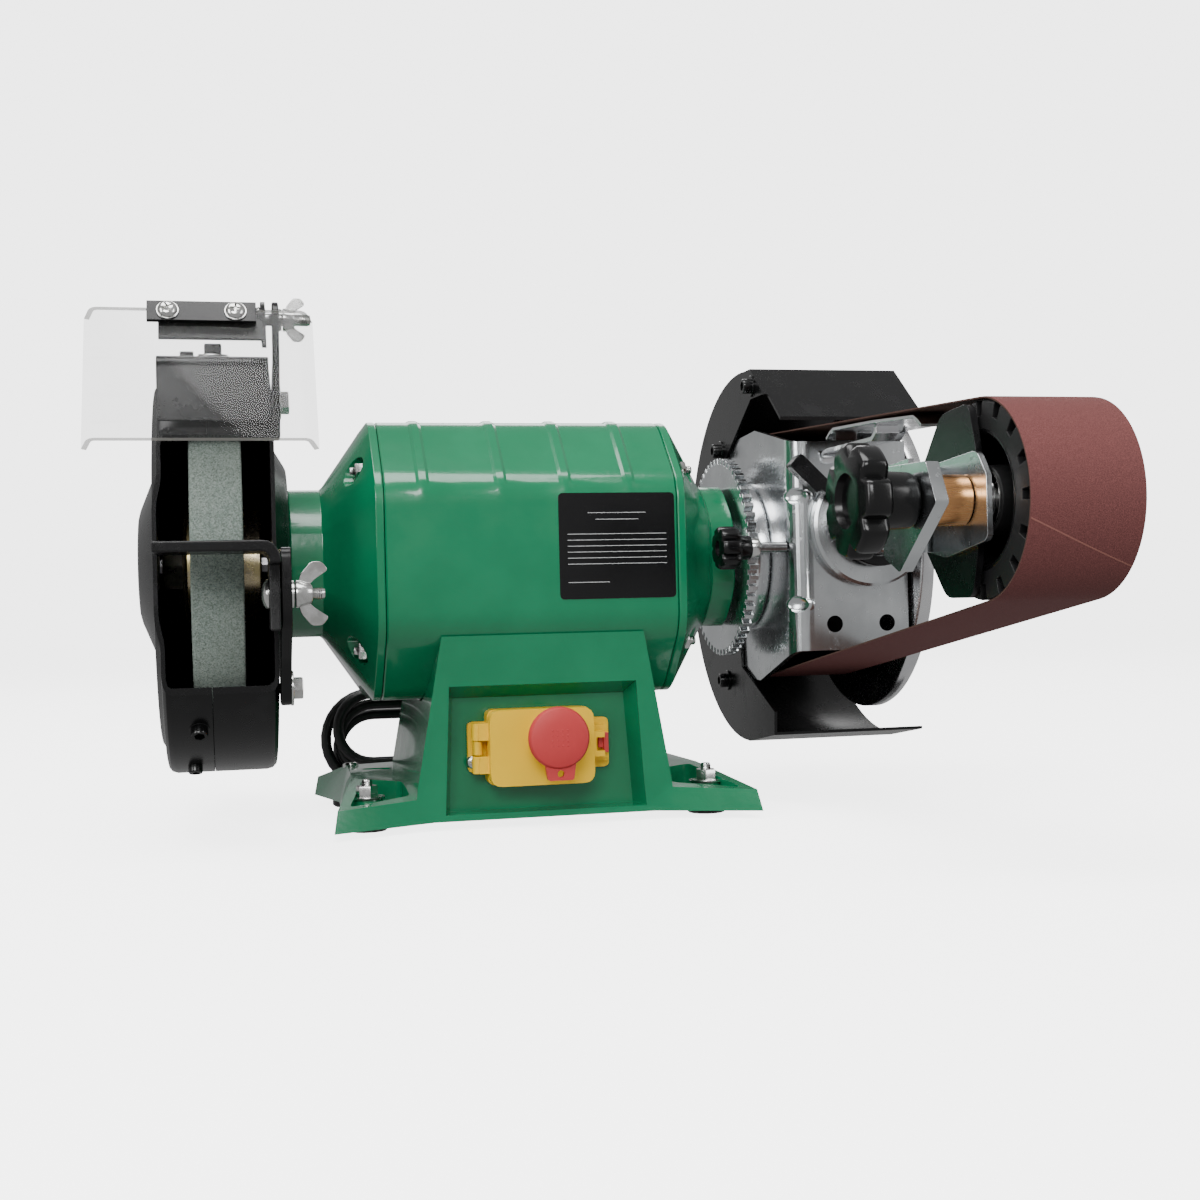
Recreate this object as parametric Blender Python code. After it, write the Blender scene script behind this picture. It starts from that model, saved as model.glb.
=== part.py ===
"""Bench grinder: a 200 mm grinding wheel on the left, a 915 x 50 mm belt linisher on the right.

Metres, +Z up, +X to the right of someone standing at the machine, -Y towards them. Every piece is drawn
about the spindle, whose middle is the empty "spindle_line", and that empty places it over the bench.
"""
import math

import bmesh
import bpy
from mathutils import Vector

# ---------------------------------------------------------------- driving dimensions
FOOT_THICK = 0.004
CASTING_BOTTOM = -0.135
SPINDLE_HEIGHT = FOOT_THICK - CASTING_BOTTOM
SPINDLE_BACK = 0.105724
BENCH = -SPINDLE_HEIGHT
GAP = 0.0003
SHEET = 0.002

BODY_HALF = 0.0738
BODY_RIDGE = 0.038
BODY_LEFT_END = -0.081
BODY_RIGHT_END = 0.0725
NECK_RADIUS = 0.0418
LEFT_CONE_END = -0.109
LEFT_NECK_END = -0.1267
RIGHT_CONE_END = 0.101
RIGHT_NECK_END = 0.115

JOURNAL_RADIUS = 0.0085
ARBOR_RADIUS = 0.008
CORE_RADIUS = 0.012
ROTOR_RADIUS = 0.0373
STATOR_RADIUS = 0.0655
STATOR_HALF = 0.042
BEARING_RADIUS = 0.020
BEARING_WIDTH = 0.012

WHEEL_RADIUS = 0.100
WHEEL_WIDTH = 0.025
WHEEL_X = -0.1632
FLANGE_RADIUS = 0.034
GUARD_RADIUS = 0.1095
GUARD_SEAM = -0.167
GUARD_CHORD = -0.0886
GUARD_LIP = -0.0660

BELT_LEFT = 0.1420
BELT_WIDTH = 0.050
BELT_THICK = 0.0008
DRIVE_OUTER = 0.0701
IDLER_OUTER = 0.0425
IDLER_Y = -0.2785
IDLER_Z = 0.0138

BASE_TIP_X = 0.1105
BASE_FRONT = -0.090
BASE_BACK = 0.086
DECK_Z = -0.115
TIP_Z = -0.124
POCKET_Z = -0.127
PEDESTAL_FRONT = -0.068
PEDESTAL_BACK = 0.060
PEDESTAL_TOP = -0.0385
BAND_HEIGHT = 0.0008

FOOT_X = 0.091
FOOT_FRONT = -0.052
FOOT_BACK = 0.056

# Each pair below is (Y, Z) beside the spindle.
ARM_BOLT = (-0.0600, 0.0800)
REST_BOLT = (-0.0805, -0.0630)
SHIELD_PIVOT = (-0.090, 0.1165)
SHIELD_TOP = (-0.1040, 0.1180)
SHIELD_BOTTOM = (-0.1374, 0.0535)
DEFLECTOR_BACK = (-0.045, 0.1040)
DEFLECTOR_FOLD = (-0.0905, 0.0975)
DEFLECTOR_TIP = (-0.0925, 0.0670)
REST_PIVOT = (-0.1320, -0.1120, -0.0170)
SHIELD_EAR = 0.0104
REST_EAR = 0.0152

LOCK = (-0.0660, 0.0030)
INDEX_TEETH = 60
CHEEK_X = 0.1368
PLATE_Y = -0.0750
BOSS_X = 0.1780
LEVER_AIM = (-0.83, 0.56)

SWITCH_LEFT = -0.0300
SWITCH_RIGHT = 0.0245
SWITCH_BOTTOM = -0.1175
SWITCH_TOP = -0.0785
STOP_X, STOP_Z = 0.0030, -0.0925
HINGE_X, HINGE_Y = -0.0350, -0.0655

CORD_RADIUS = 0.0034
CORD_EXIT_X = 0.040
CORD_EXIT_Z = -0.096
HANK_LEFT = -0.104
HANK_RIGHT = 0.079
HANK_FRONT = 0.1180
HANK_BACK = 0.1460
HANK_RADIUS = 0.032
PLUG_X = -0.020


# ---------------------------------------------------------------- shapes
def place(name, bm, paint, pivot=(0, 0, 0), angle=32):
    """Turn a bmesh drawn about the spindle into a named object with its origin at pivot."""
    bmesh.ops.recalc_face_normals(bm, faces=bm.faces)
    bmesh.ops.translate(bm, verts=bm.verts, vec=-Vector(pivot))
    mesh = bpy.data.meshes.new(name)
    bm.to_mesh(mesh)
    bm.free()
    mesh.materials.append(paint)
    mesh.shade_smooth()
    mesh.set_sharp_from_angle(angle=math.radians(angle))
    item = bpy.data.objects.new(name, mesh)
    item.location = pivot
    item.parent = spindle_line
    bpy.context.scene.collection.objects.link(item)
    return item


def on_axis(axis, along, u, v):
    """A point from its distance along an axis and its two coordinates across it."""
    return {"X": (along, u, v), "Y": (u, along, v), "Z": (u, v, along)}[axis]


def prism(outline, lo, hi, axis="X"):
    """A straight extrusion of an outline, given in the two directions across the axis."""
    bm = bmesh.new()
    ends = [[bm.verts.new(on_axis(axis, at, u, v)) for u, v in outline] for at in (lo, hi)]
    bm.faces.new(ends[0])
    bm.faces.new(reversed(ends[1]))
    for here in range(len(outline)):
        after = (here + 1) % len(outline)
        bm.faces.new((ends[0][here], ends[1][here], ends[1][after], ends[0][after]))
    return bm


def box(lo, hi, round_by=0.0):
    """A block between two corners, with its edges rounded by round_by."""
    bm = prism([(lo[0], lo[1]), (hi[0], lo[1]), (hi[0], hi[1]), (lo[0], hi[1])], lo[2], hi[2], "Z")
    if round_by:
        bmesh.ops.bevel(bm, geom=bm.edges[:], offset=round_by, segments=2, affect="EDGES", profile=0.5)
    return bm


def turned(profile, steps=36, axis="X", centre=(0.0, 0.0)):
    """Revolve (along, radius) points about an axis. A profile that starts and ends at radius 0 is solid,
    any other is a closed ring."""
    bm = bmesh.new()
    rings = []
    for along, radius in profile:
        count = steps if radius > 0 else 1
        turns = [2 * math.pi * k / steps for k in range(count)]
        rings.append([bm.verts.new(on_axis(axis, along, centre[0] + radius * math.cos(t),
                                           centre[1] + radius * math.sin(t))) for t in turns])
    closed = profile[0][1] > 0 and profile[-1][1] > 0
    pairs = list(zip(rings, rings[1:])) + ([(rings[-1], rings[0])] if closed else [])
    for first, second in pairs:
        for k in range(steps):
            after = (k + 1) % steps
            corners = [first[k % len(first)], first[after % len(first)],
                       second[after % len(second)], second[k % len(second)]]
            bm.faces.new(list(dict.fromkeys(corners)))
    return bm


def lofted(sections, closed=False):
    """Skin a list of sections with equal numbers of points, as a solid with ends or as a closed ring."""
    bm = bmesh.new()
    rings = [[bm.verts.new(point) for point in section] for section in sections]
    pairs = list(zip(rings, rings[1:])) + ([(rings[-1], rings[0])] if closed else [])
    for first, second in pairs:
        for k in range(len(first)):
            after = (k + 1) % len(first)
            bm.faces.new((first[k], first[after], second[after], second[k]))
    if not closed:
        bm.faces.new(rings[0])
        bm.faces.new(reversed(rings[-1]))
    return bm


def folded(path, thick, lo, hi, axis="X"):
    """A sheet of even thickness that follows a path, with mitred folds, as wide as lo to hi."""
    points = [Vector(point) for point in path]
    runs = [(b - a).normalized() for a, b in zip(points, points[1:])]
    sides = []
    for index, point in enumerate(points):
        before = runs[max(index - 1, 0)]
        after = runs[min(index, len(runs) - 1)]
        across = Vector((-(before + after).y, (before + after).x)).normalized()
        mitre = max(0.5, across.dot(Vector((-after.y, after.x))))
        sides.append((point, across * (thick / 2 / mitre)))
    outline = [tuple(p + s) for p, s in sides] + [tuple(p - s) for p, s in reversed(sides)]
    return prism(outline, lo, hi, axis)


def arc(centre, radius, start, end, count):
    """Points on an arc, in degrees."""
    turns = [math.radians(start + (end - start) * k / count) for k in range(count + 1)]
    return [(centre[0] + radius * math.cos(t), centre[1] + radius * math.sin(t)) for t in turns]


def hexagon(across_flats, centre=(0.0, 0.0)):
    return arc(centre, across_flats / math.sqrt(3), 0, 300, 5)


def lobed(outer, inner, lobes, centre=(0.0, 0.0)):
    """The outline of a star knob: broad lobes with short valleys between them."""
    outline = []
    for lobe in range(lobes):
        for share, radius in ((0.0, inner), (0.18, outer * 0.97), (0.38, outer), (0.62, outer),
                              (0.82, outer * 0.97)):
            turn = 2 * math.pi * (lobe + share) / lobes
            outline.append((centre[0] + radius * math.cos(turn), centre[1] + radius * math.sin(turn)))
    return outline


def toothed(outer, depth, teeth, centre=(0.0, 0.0)):
    """The outline of a disc with square teeth."""
    outline = []
    for tooth in range(teeth):
        for share, radius in ((0.0, outer), (0.45, outer), (0.55, outer - depth), (0.95, outer - depth)):
            turn = 2 * math.pi * (tooth + share) / teeth
            outline.append((centre[0] + radius * math.cos(turn), centre[1] + radius * math.sin(turn)))
    return outline


def tool(name, bm):
    """A shape that only cuts or adds to another one."""
    item = place(name, bm, steel)
    item.hide_render = True
    item.display_type = "WIRE"
    return item


def combine(item, operation, *shapes):
    """Cut, add or keep the common part of an object and some bmesh shapes."""
    for number, shape in enumerate(shapes):
        step = item.modifiers.new(f"{operation}_{number}", "BOOLEAN")
        step.operation = operation
        step.object = tool(f"{item.name}_{operation.lower()}_{len(item.modifiers)}", shape)
    return item


def cut(item, *shapes):
    return combine(item, "DIFFERENCE", *shapes)


def add(item, *shapes):
    return combine(item, "UNION", *shapes)


def rod(axis, lo, hi, radius, centre, steps=16):
    """A plain round bar, also used to drill holes."""
    return turned([(lo, 0), (lo, radius), (hi, radius), (hi, 0)], steps, axis, centre)


def paint(name, colour, roughness, metallic=0.0, alpha=1.0):
    material = bpy.data.materials.new(name)
    material.use_nodes = True
    shader = material.node_tree.nodes["Principled BSDF"]
    shader.inputs["Base Color"].default_value = (*colour, 1.0)
    shader.inputs["Roughness"].default_value = roughness
    shader.inputs["Metallic"].default_value = metallic
    shader.inputs["Alpha"].default_value = alpha
    material.diffuse_color = (*colour, alpha)
    return material


# ---------------------------------------------------------------- base
def base_casting():
    """One casting: four wings round a raised deck, and a hollow pedestal that carries the motor."""
    rim = [(BASE_TIP_X, BASE_FRONT), (0.101, -0.018), (0.099, 0.042), (BASE_TIP_X, BASE_BACK),
           (0.056, 0.066), (-0.056, 0.066), (-BASE_TIP_X, BASE_BACK), (-0.099, 0.042), (-0.101, -0.018),
           (-BASE_TIP_X, BASE_FRONT), (-0.052, -0.064), (0.052, -0.064)]
    crown = [(0.1085, -0.0865, TIP_Z), (0.096, -0.018, DECK_Z), (0.0935, 0.052, DECK_Z),
             (0.1085, 0.0825, TIP_Z), (0.055, 0.063, DECK_Z), (-0.055, 0.063, DECK_Z),
             (-0.1085, 0.0825, TIP_Z), (-0.0935, 0.052, DECK_Z), (-0.096, -0.018, DECK_Z),
             (-0.1085, -0.0865, TIP_Z), (-0.052, -0.0635, -0.122), (0.052, -0.0635, -0.122)]
    flange = lofted([[(x, y, CASTING_BOTTOM) for x, y in rim], crown])
    bmesh.ops.triangulate(flange, faces=[f for f in flange.faces if len(f.verts) > 4])
    casting = place("base_casting", flange, green)

    def level(half_wide, front, back, z):
        return [(-half_wide, front, z), (half_wide, front, z), (half_wide, back, z), (-half_wide, back, z)]

    pedestal = lofted([level(0.069, -0.0705, 0.061, -0.1345), level(0.067, PEDESTAL_FRONT - 0.0015,
                       PEDESTAL_BACK, -0.118), level(0.053, PEDESTAL_FRONT - 0.0035, 0.055, PEDESTAL_TOP),
                       level(0.0525, PEDESTAL_FRONT, 0.050, -0.033)])
    inside = lofted([level(0.061, -0.045, 0.053, CASTING_BOTTOM - 0.001), level(0.061, -0.045, 0.053, -0.118),
                     level(0.047, -0.045, 0.048, -0.050), level(0.047, -0.045, 0.046, -0.030)])
    recess = lofted([[(-0.0465, -0.056, -0.0725), (0.0450, -0.056, -0.0725),
                      (0.0490, -0.056, -0.1310), (-0.0490, -0.056, -0.1310)],
                     [(-0.0498, -0.069, -0.0662), (0.0484, -0.069, -0.0662),
                      (0.0528, -0.069, -0.1312), (-0.0528, -0.069, -0.1312)],
                     [(-0.0510, -0.090, -0.0600), (0.0500, -0.090, -0.0600),
                      (0.0550, -0.090, -0.1320), (-0.0550, -0.090, -0.1320)]])
    body_seat = lofted([body_section(x, BAND_HEIGHT + GAP) for x in (-0.095, 0.095)])
    add(casting, pedestal)
    cut(casting, inside, recess, body_seat)
    for side in (-1, 1):
        pocket = [(side * 0.0905, -0.0215), (side * 0.0700, -0.0215), (side * 0.0700, -0.0600),
                  (side * 0.1020, -0.0795)]
        slot = [(side * 0.0790 + x, 0.024 + y) for x, y in arc((-0.0045, 0), 0.0035, 90, 270, 6)
                + arc((0.0045, 0), 0.0035, -90, 90, 6)]
        cut(casting, prism(pocket, POCKET_Z, DECK_Z + 0.02, "Z"), prism(slot, -0.14, -0.11, "Z"))
        for x, y, top in ((side * FOOT_X, FOOT_FRONT, -0.110), (side * FOOT_X, FOOT_BACK, -0.119)):
            cut(casting, rod("Z", -0.14, top, 0.0034, (x, y)))
    plate_rebate = box((-0.066, -0.050, CASTING_BOTTOM - 0.001), (0.066, 0.058, CASTING_BOTTOM + 0.0018))
    cord_hole = rod("Y", 0.040, 0.080, 0.0083, (CORD_EXIT_X, CORD_EXIT_Z), 20)
    cut(casting, plate_rebate, cord_hole)


def base_small_parts():
    plate = place("base_plate", box((-0.0655, -0.0495, CASTING_BOTTOM), (0.0655, 0.0575, -0.1335)), zinc)
    cut(plate, *[rod("Z", -0.14, -0.13, 0.003, (x, 0.004), 12) for x in (-0.03, 0.0, 0.03)])
    for side, word in ((-1, "left"), (1, "right")):
        for y, end in ((FOOT_FRONT, "front"), (FOOT_BACK, "back")):
            foot = turned([(BENCH, 0), (BENCH, 0.0095), (BENCH + 0.0012, 0.0108),
                           (CASTING_BOTTOM - GAP, 0.0108), (CASTING_BOTTOM - GAP, 0.003),
                           (-0.1205, 0.003), (-0.1205, 0)], 14, "Z", (side * FOOT_X, y))
            place(f"rubber_foot_{end}_{word}", foot, rubber, (side * FOOT_X, y, BENCH))
    place("capacitor", turned([(-0.040, 0), (-0.040, 0.018), (0.026, 0.018), (0.028, 0.016), (0.028, 0.007),
                               (0.032, 0.006), (0.032, 0)], 24, "X", (0.020, -0.105)), black_plastic)


# ---------------------------------------------------------------- motor
def body_section(x, grow=0.0):
    """The rounded octagon of the motor body at one place along the spindle."""
    half = BODY_HALF + grow
    corners = [Vector(point) for point in (
        (half, BODY_RIDGE), (BODY_RIDGE, half), (-BODY_RIDGE, half), (-half, BODY_RIDGE),
        (-half, -BODY_RIDGE), (-BODY_RIDGE, -half), (BODY_RIDGE, -half), (half, -BODY_RIDGE))]
    ease = 0.011
    points = []
    for index, here in enumerate(corners):
        following = corners[(index + 1) % 8]
        before = (corners[index - 1] - here).normalized() * ease
        after = (following - here).normalized() * ease
        for share in (0.0, 0.5, 1.0):
            points.append(here + before * (1 - share) ** 2 + after * share ** 2)
        facet_end = following - after
        points += [points[-1].lerp(facet_end, 1 / 3), points[-1].lerp(facet_end, 2 / 3)]
    return [(x, point.x, point.y) for point in points]


def round_section(x, radius, like):
    """A circle with its points in line with those of another section."""
    return [(x, radius * y / math.hypot(y, z), radius * z / math.hypot(y, z)) for _, y, z in like]


def motor_housing():
    """The barrel round the stator: octagonal outside, round inside."""
    like = body_section(0)
    left, right = BODY_LEFT_END + GAP, BODY_RIGHT_END - GAP
    bore = STATOR_RADIUS + 0.0010
    place("motor_housing", lofted([body_section(left), body_section(right), round_section(right, bore, like),
                                   round_section(left, bore, like)], True), green)


def end_bell(name, side, face, cone_end, neck_end):
    """A tapered cover: octagon against the housing, round neck that holds the bearing."""
    like = body_section(0)
    seat = neck_end - side * 0.0042
    sections = [body_section(face), body_section(face + side * 0.004, -0.0004),
                round_section(cone_end, NECK_RADIUS, like), round_section(neck_end, NECK_RADIUS, like),
                round_section(neck_end, CORE_RADIUS, like), round_section(seat, CORE_RADIUS, like),
                round_section(seat, BEARING_RADIUS + 0.0005, like),
                round_section(seat - side * (BEARING_WIDTH + GAP), BEARING_RADIUS + 0.0005, like),
                round_section(seat - side * (BEARING_WIDTH + GAP), 0.030, like),
                round_section(face, 0.064, like)]
    bell = place(name, lofted(sections, True), green)
    for turn in (45, 135, 225, 315):
        y, z = 0.0655 * math.cos(math.radians(turn)), 0.0655 * math.sin(math.radians(turn))
        lo, hi = sorted((face + side * 0.0065, face + side * 0.030))
        cut(bell, rod("X", lo, hi, 0.0075, (y, z), 12))
    return bell


def electrical_core():
    """Laminated stator with twelve slots, the winding that fills them, and the rotor."""
    slots = 12
    lamination = []
    for slot in range(slots):
        for share, radius in ((0.0, 0.0385), (0.30, 0.0385), (0.31, 0.0580), (0.69, 0.0580), (0.70, 0.0385)):
            turn = 2 * math.pi * (slot + share) / slots
            lamination.append((radius * math.cos(turn), radius * math.sin(turn)))
    stator = place("stator_core", rod("X", -STATOR_HALF, STATOR_HALF, STATOR_RADIUS, (0, 0), 36), steel)
    cut(stator, prism(lamination, -STATOR_HALF - 0.001, STATOR_HALF + 0.001, "X"))
    ring = [(STATOR_HALF + GAP, 0.042), (0.060, 0.044), (0.062, 0.047), (0.062, 0.054), (0.060, 0.057),
            (STATOR_HALF + GAP, 0.0575)]
    winding = place("stator_winding", turned(ring, 24), copper)
    add(winding, turned([(-x, r) for x, r in ring], 24))
    for slot in range(slots):
        turn = 2 * math.pi * (slot + 0.5) / slots
        across = Vector((-math.sin(turn), math.cos(turn))) * 0.0042
        inner = Vector((math.cos(turn), math.sin(turn))) * 0.0450
        outer = Vector((math.cos(turn), math.sin(turn))) * 0.0562
        bar = [tuple(inner - across), tuple(outer - across), tuple(outer + across), tuple(inner + across)]
        add(winding, prism(bar, -0.050, 0.050, "X"))
    place("rotor_core", turned([(-STATOR_HALF, CORE_RADIUS + GAP), (-STATOR_HALF, 0.036), (-0.040, ROTOR_RADIUS),
                                (0.040, ROTOR_RADIUS), (STATOR_HALF, 0.036),
                                (STATOR_HALF, CORE_RADIUS + GAP)], 28), steel)


def bearing(name, outer_face, side):
    """A sealed ball bearing, drawn as its two races joined by the shield between them."""
    far = outer_face - side * BEARING_WIDTH
    dip = 0.0008 * side
    place(name, turned([(outer_face, JOURNAL_RADIUS + GAP), (outer_face, 0.0115), (outer_face - dip, 0.0118),
                        (outer_face - dip, 0.0167), (outer_face, 0.0170), (outer_face, BEARING_RADIUS),
                        (far, BEARING_RADIUS), (far, 0.0170), (far + dip, 0.0167), (far + dip, 0.0118),
                        (far, 0.0115), (far, JOURNAL_RADIUS + GAP)], 16), steel)


# ---------------------------------------------------------------- switch
def switch():
    floor_y = -0.0563
    left, right, bottom, top = SWITCH_LEFT, SWITCH_RIGHT, SWITCH_BOTTOM, SWITCH_TOP
    case = place("switch_box", box((left, -0.0660, bottom), (right, floor_y, top), 0.0015), yellow)
    add(case, box((-0.0395, -0.0600, -0.1110), (0.0355, floor_y - 0.0005, -0.0848), 0.001))
    add(case, rod("Z", -0.1015, -0.0945, 0.0022, (HINGE_X, HINGE_Y), 12),
        box((-0.0372, HINGE_Y, -0.1015), (-0.0328, -0.0580, -0.0945)),
        box((0.0310, -0.0680, -0.1060), (0.0340, -0.0590, -0.0895)))
    cut(case, rod("Y", -0.070, -0.059, 0.0100, (STOP_X, STOP_Z), 20),
        box((-0.0245, -0.070, -0.1070), (-0.0095, -0.059, -0.0890)))
    lid = place("switch_lid", box((left, -0.0750, bottom), (right, -0.0663, top), 0.0022), yellow,
                (HINGE_X, HINGE_Y, (bottom + top) / 2))
    add(lid, rod("Y", -0.0775, -0.0700, 0.0125, (STOP_X, STOP_Z), 24))
    for low in (-0.1110, -0.0940):
        add(lid, rod("Z", low, low + 0.0088, 0.0030, (HINGE_X, HINGE_Y), 12),
            box((HINGE_X, -0.0700, low), (-0.0280, -0.0664, low + 0.0088)))
    cut(lid, box((left + 0.002, -0.0730, bottom + 0.002), (right - 0.002, -0.0650, top - 0.002)),
        rod("Y", -0.080, -0.060, 0.0085, (STOP_X, STOP_Z), 24))
    button = place("stop_button", turned([(-0.0700, 0), (-0.0700, 0.0080), (-0.0850, 0.0080), (-0.0862, 0.0150),
                                          (-0.0880, 0.0158), (-0.0905, 0.0153), (-0.0918, 0.0138),
                                          (-0.0924, 0.0)], 32, "Y", (STOP_X, STOP_Z)), red,
                   (STOP_X, -0.0850, STOP_Z))
    add(button, box((STOP_X - 0.0052, -0.0890, STOP_Z - 0.0225), (STOP_X + 0.0072, -0.0863, STOP_Z - 0.0120),
                    0.0006))
    place("start_button", box((-0.0240, -0.0700, -0.1065), (-0.0100, -0.0620, -0.0895), 0.0012), green_button,
          (-0.0170, -0.0660, -0.0980))


# ---------------------------------------------------------------- turning line
def spindle():
    place("spindle_shaft", turned([(-0.1950, 0), (-0.1950, 0.0070), (-0.1940, ARBOR_RADIUS),
                                   (-0.1427, ARBOR_RADIUS), (-0.1427, JOURNAL_RADIUS),
                                   (-0.1085, JOURNAL_RADIUS), (-0.1085, CORE_RADIUS - 0.0012),
                                   (-0.0700, CORE_RADIUS), (0.0700, CORE_RADIUS),
                                   (0.0970, CORE_RADIUS - 0.0012), (0.0970, JOURNAL_RADIUS),
                                   (0.1130, JOURNAL_RADIUS), (0.1130, ARBOR_RADIUS), (0.2195, ARBOR_RADIUS),
                                   (0.2205, 0.0070), (0.2205, 0)], 14), steel)
    half = WHEEL_WIDTH / 2
    bore = ARBOR_RADIUS + GAP
    place("grinding_wheel", turned([(WHEEL_X - half, bore), (WHEEL_X - half, 0.0985),
                                    (WHEEL_X - half + 0.0015, WHEEL_RADIUS),
                                    (WHEEL_X + half - 0.0015, WHEEL_RADIUS), (WHEEL_X + half, 0.0985),
                                    (WHEEL_X + half, bore)], 44), grit)
    place("inner_flange", turned([(-0.1504, bore), (-0.1504, 0.0180), (-0.1490, 0.0200), (-0.1504, 0.0290),
                                  (-0.1504, 0.0320), (-0.1418, 0.0320), (-0.1408, 0.0310), (-0.1408, 0.0260),
                                  (-0.1430, 0.0200), (-0.1430, bore)], 22), yellow_zinc)
    place("outer_flange", turned([(-0.1812, bore), (-0.1812, 0.0200), (-0.1790, FLANGE_RADIUS),
                                  (-0.1760, FLANGE_RADIUS), (-0.1760, 0.0290), (-0.1772, 0.0200),
                                  (-0.1760, 0.0180), (-0.1760, bore)], 22), yellow_zinc)
    nut = place("spindle_nut", prism(hexagon(0.024), -0.1915, -0.1815, "X"), zinc)
    cut(nut, rod("X", -0.20, -0.18, bore, (0, 0), 20))


def drive_side():
    bore = ARBOR_RADIUS + GAP
    left, right = BELT_LEFT + 0.0006, BELT_LEFT + BELT_WIDTH - 0.0006
    inner = DRIVE_OUTER - BELT_THICK - GAP
    place("drive_hub", turned([(0.1160, bore), (0.1160, 0.0120), (0.1440, 0.0120), (0.1480, 0.0200),
                               (0.1620, 0.0520), (left + 0.001, 0.0550), (left + 0.001, 0.0610),
                               (right - 0.001, 0.0610), (right - 0.001, 0.0550), (0.1720, 0.0520),
                               (0.1800, 0.0200), (0.1915, 0.0180), (0.1915, bore)], 20), aluminium)
    place("drive_tyre", turned([(left, 0.0613), (left, inner - 0.0010), (left + 0.0010, inner),
                                (right - 0.0010, inner), (right, inner - 0.0010), (right, 0.0613)], 32), rubber)
    place("sanding_disc", turned([(0.1918, bore), (0.1918, 0.0190), (0.2010, 0.0210), (0.2030, 0.0300),
                                  (0.2030, 0.0880), (0.2040, 0.0890), (0.2102, 0.0890), (0.2112, 0.0880),
                                  (0.2112, 0.0300), (0.2135, 0.0280), (0.2135, bore)], 32), aluminium)
    nut = place("disc_nut", prism(hexagon(0.022), 0.2138, 0.2190, "X"), zinc)
    cut(nut, rod("X", 0.20, 0.23, bore, (0, 0), 20))


# ---------------------------------------------------------------- grinding side
def wheel_guard():
    """Two pressed half shells round the wheel, open at the front, each with a shallow dish."""
    wall = GUARD_RADIUS - SHEET
    outside = [(GUARD_SEAM + GAP, wall), (GUARD_SEAM + GAP, GUARD_RADIUS), (-0.1385, GUARD_RADIUS),
               (-0.1350, 0.1060), (-0.1350, 0.0660), (-0.1270, 0.0520), (-0.1270, 0.0200),
               (-0.1290, 0.0200), (-0.1290, 0.0510), (-0.1370, 0.0650), (-0.1370, 0.1050), (-0.1395, wall)]
    guard = place("wheel_guard", turned(outside, 32), black_metal)
    shell = [(-0.2035, 0), (-0.2035, 0.0280), (-0.1932, 0.0530), (-0.1932, 0.0930), (-0.1905, 0.0970),
             (-0.1905, 0.1055), (-0.1865, GUARD_RADIUS), (GUARD_SEAM, GUARD_RADIUS), (GUARD_SEAM, wall),
             (-0.1855, wall), (-0.1885, 0.1045), (-0.1885, 0.0963), (-0.1912, 0.0923), (-0.1912, 0.0517),
             (-0.2015, 0.0267), (-0.2015, 0)]
    cover = place("guard_cover", turned(shell, 32), black_metal)
    for half in (guard, cover):
        cut(half, box((-0.21, -0.15, GUARD_LIP), (-0.12, GUARD_CHORD, 0.15)))
    cut(guard, rod("X", -0.15, -0.12, 0.0034, ARM_BOLT), rod("X", -0.15, -0.12, 0.0034, REST_BOLT))


def spark_deflector():
    """A bent plate on the guard's top, which slides forward as the wheel wears."""
    plate = place("spark_deflector", folded([DEFLECTOR_BACK, DEFLECTOR_FOLD, DEFLECTOR_TIP], SHEET,
                                            -0.1895, -0.1368, "X"), black_metal)
    cut(plate, prism([(-0.1665, -0.074), (-0.1595, -0.074), (-0.1595, -0.052), (-0.1665, -0.052)],
                     0.095, 0.120, "Z"))


def tool_rest():
    """A bent steel rest in front of the wheel, clamped to a slotted bracket by a bolt and a wing nut."""
    pivot = REST_PIVOT
    rest = place("tool_rest", folded([(-0.1915, 0.0050), (-0.1440, 0.0050), (-0.1380, 0.0025),
                                      (-0.1373, -0.0020), (-0.1373, -0.0340)], 0.005, -0.1450, -0.1035, "Y"),
                 black_metal, pivot)
    cut(rest, rod("X", -0.145, -0.130, 0.0036, (pivot[1], pivot[2])),
        box((-0.1340, -0.1465, -0.0400), (-0.1500, -0.1300, -0.0030)))
    bracket_outline = [(-0.1240, 0.0050), (-0.1000, 0.0050), (-0.0760, -0.0500), (-0.0710, -0.0710),
                       (-0.0915, -0.0710), (-0.1020, -0.0500), (-0.1240, -0.0300)]
    bracket = place("tool_rest_bracket", prism(bracket_outline, -0.1344, -0.1294, "X"), black_metal)
    slot = arc((-0.1120, -0.0080), 0.0036, 0, 180, 6) + arc((-0.1120, -0.0230), 0.0036, 180, 360, 6)
    cut(bracket, prism(slot, -0.14, -0.12, "X"), rod("X", -0.14, -0.12, 0.0036, REST_BOLT))
    place("tool_rest_bolt", turned([(-0.1432, 0), (-0.1430, 0.0040), (-0.1415, 0.0068), (-0.1402, 0.0072),
                                    (-0.1402, 0.0030), (-0.1135, 0.0030), (-0.1130, 0.0025), (-0.1130, 0)],
                                   16, "X", (pivot[1], pivot[2])), zinc, pivot)
    wing_nut("tool_rest_wing_nut", -0.1275, (pivot[1], pivot[2]), REST_EAR)


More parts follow.
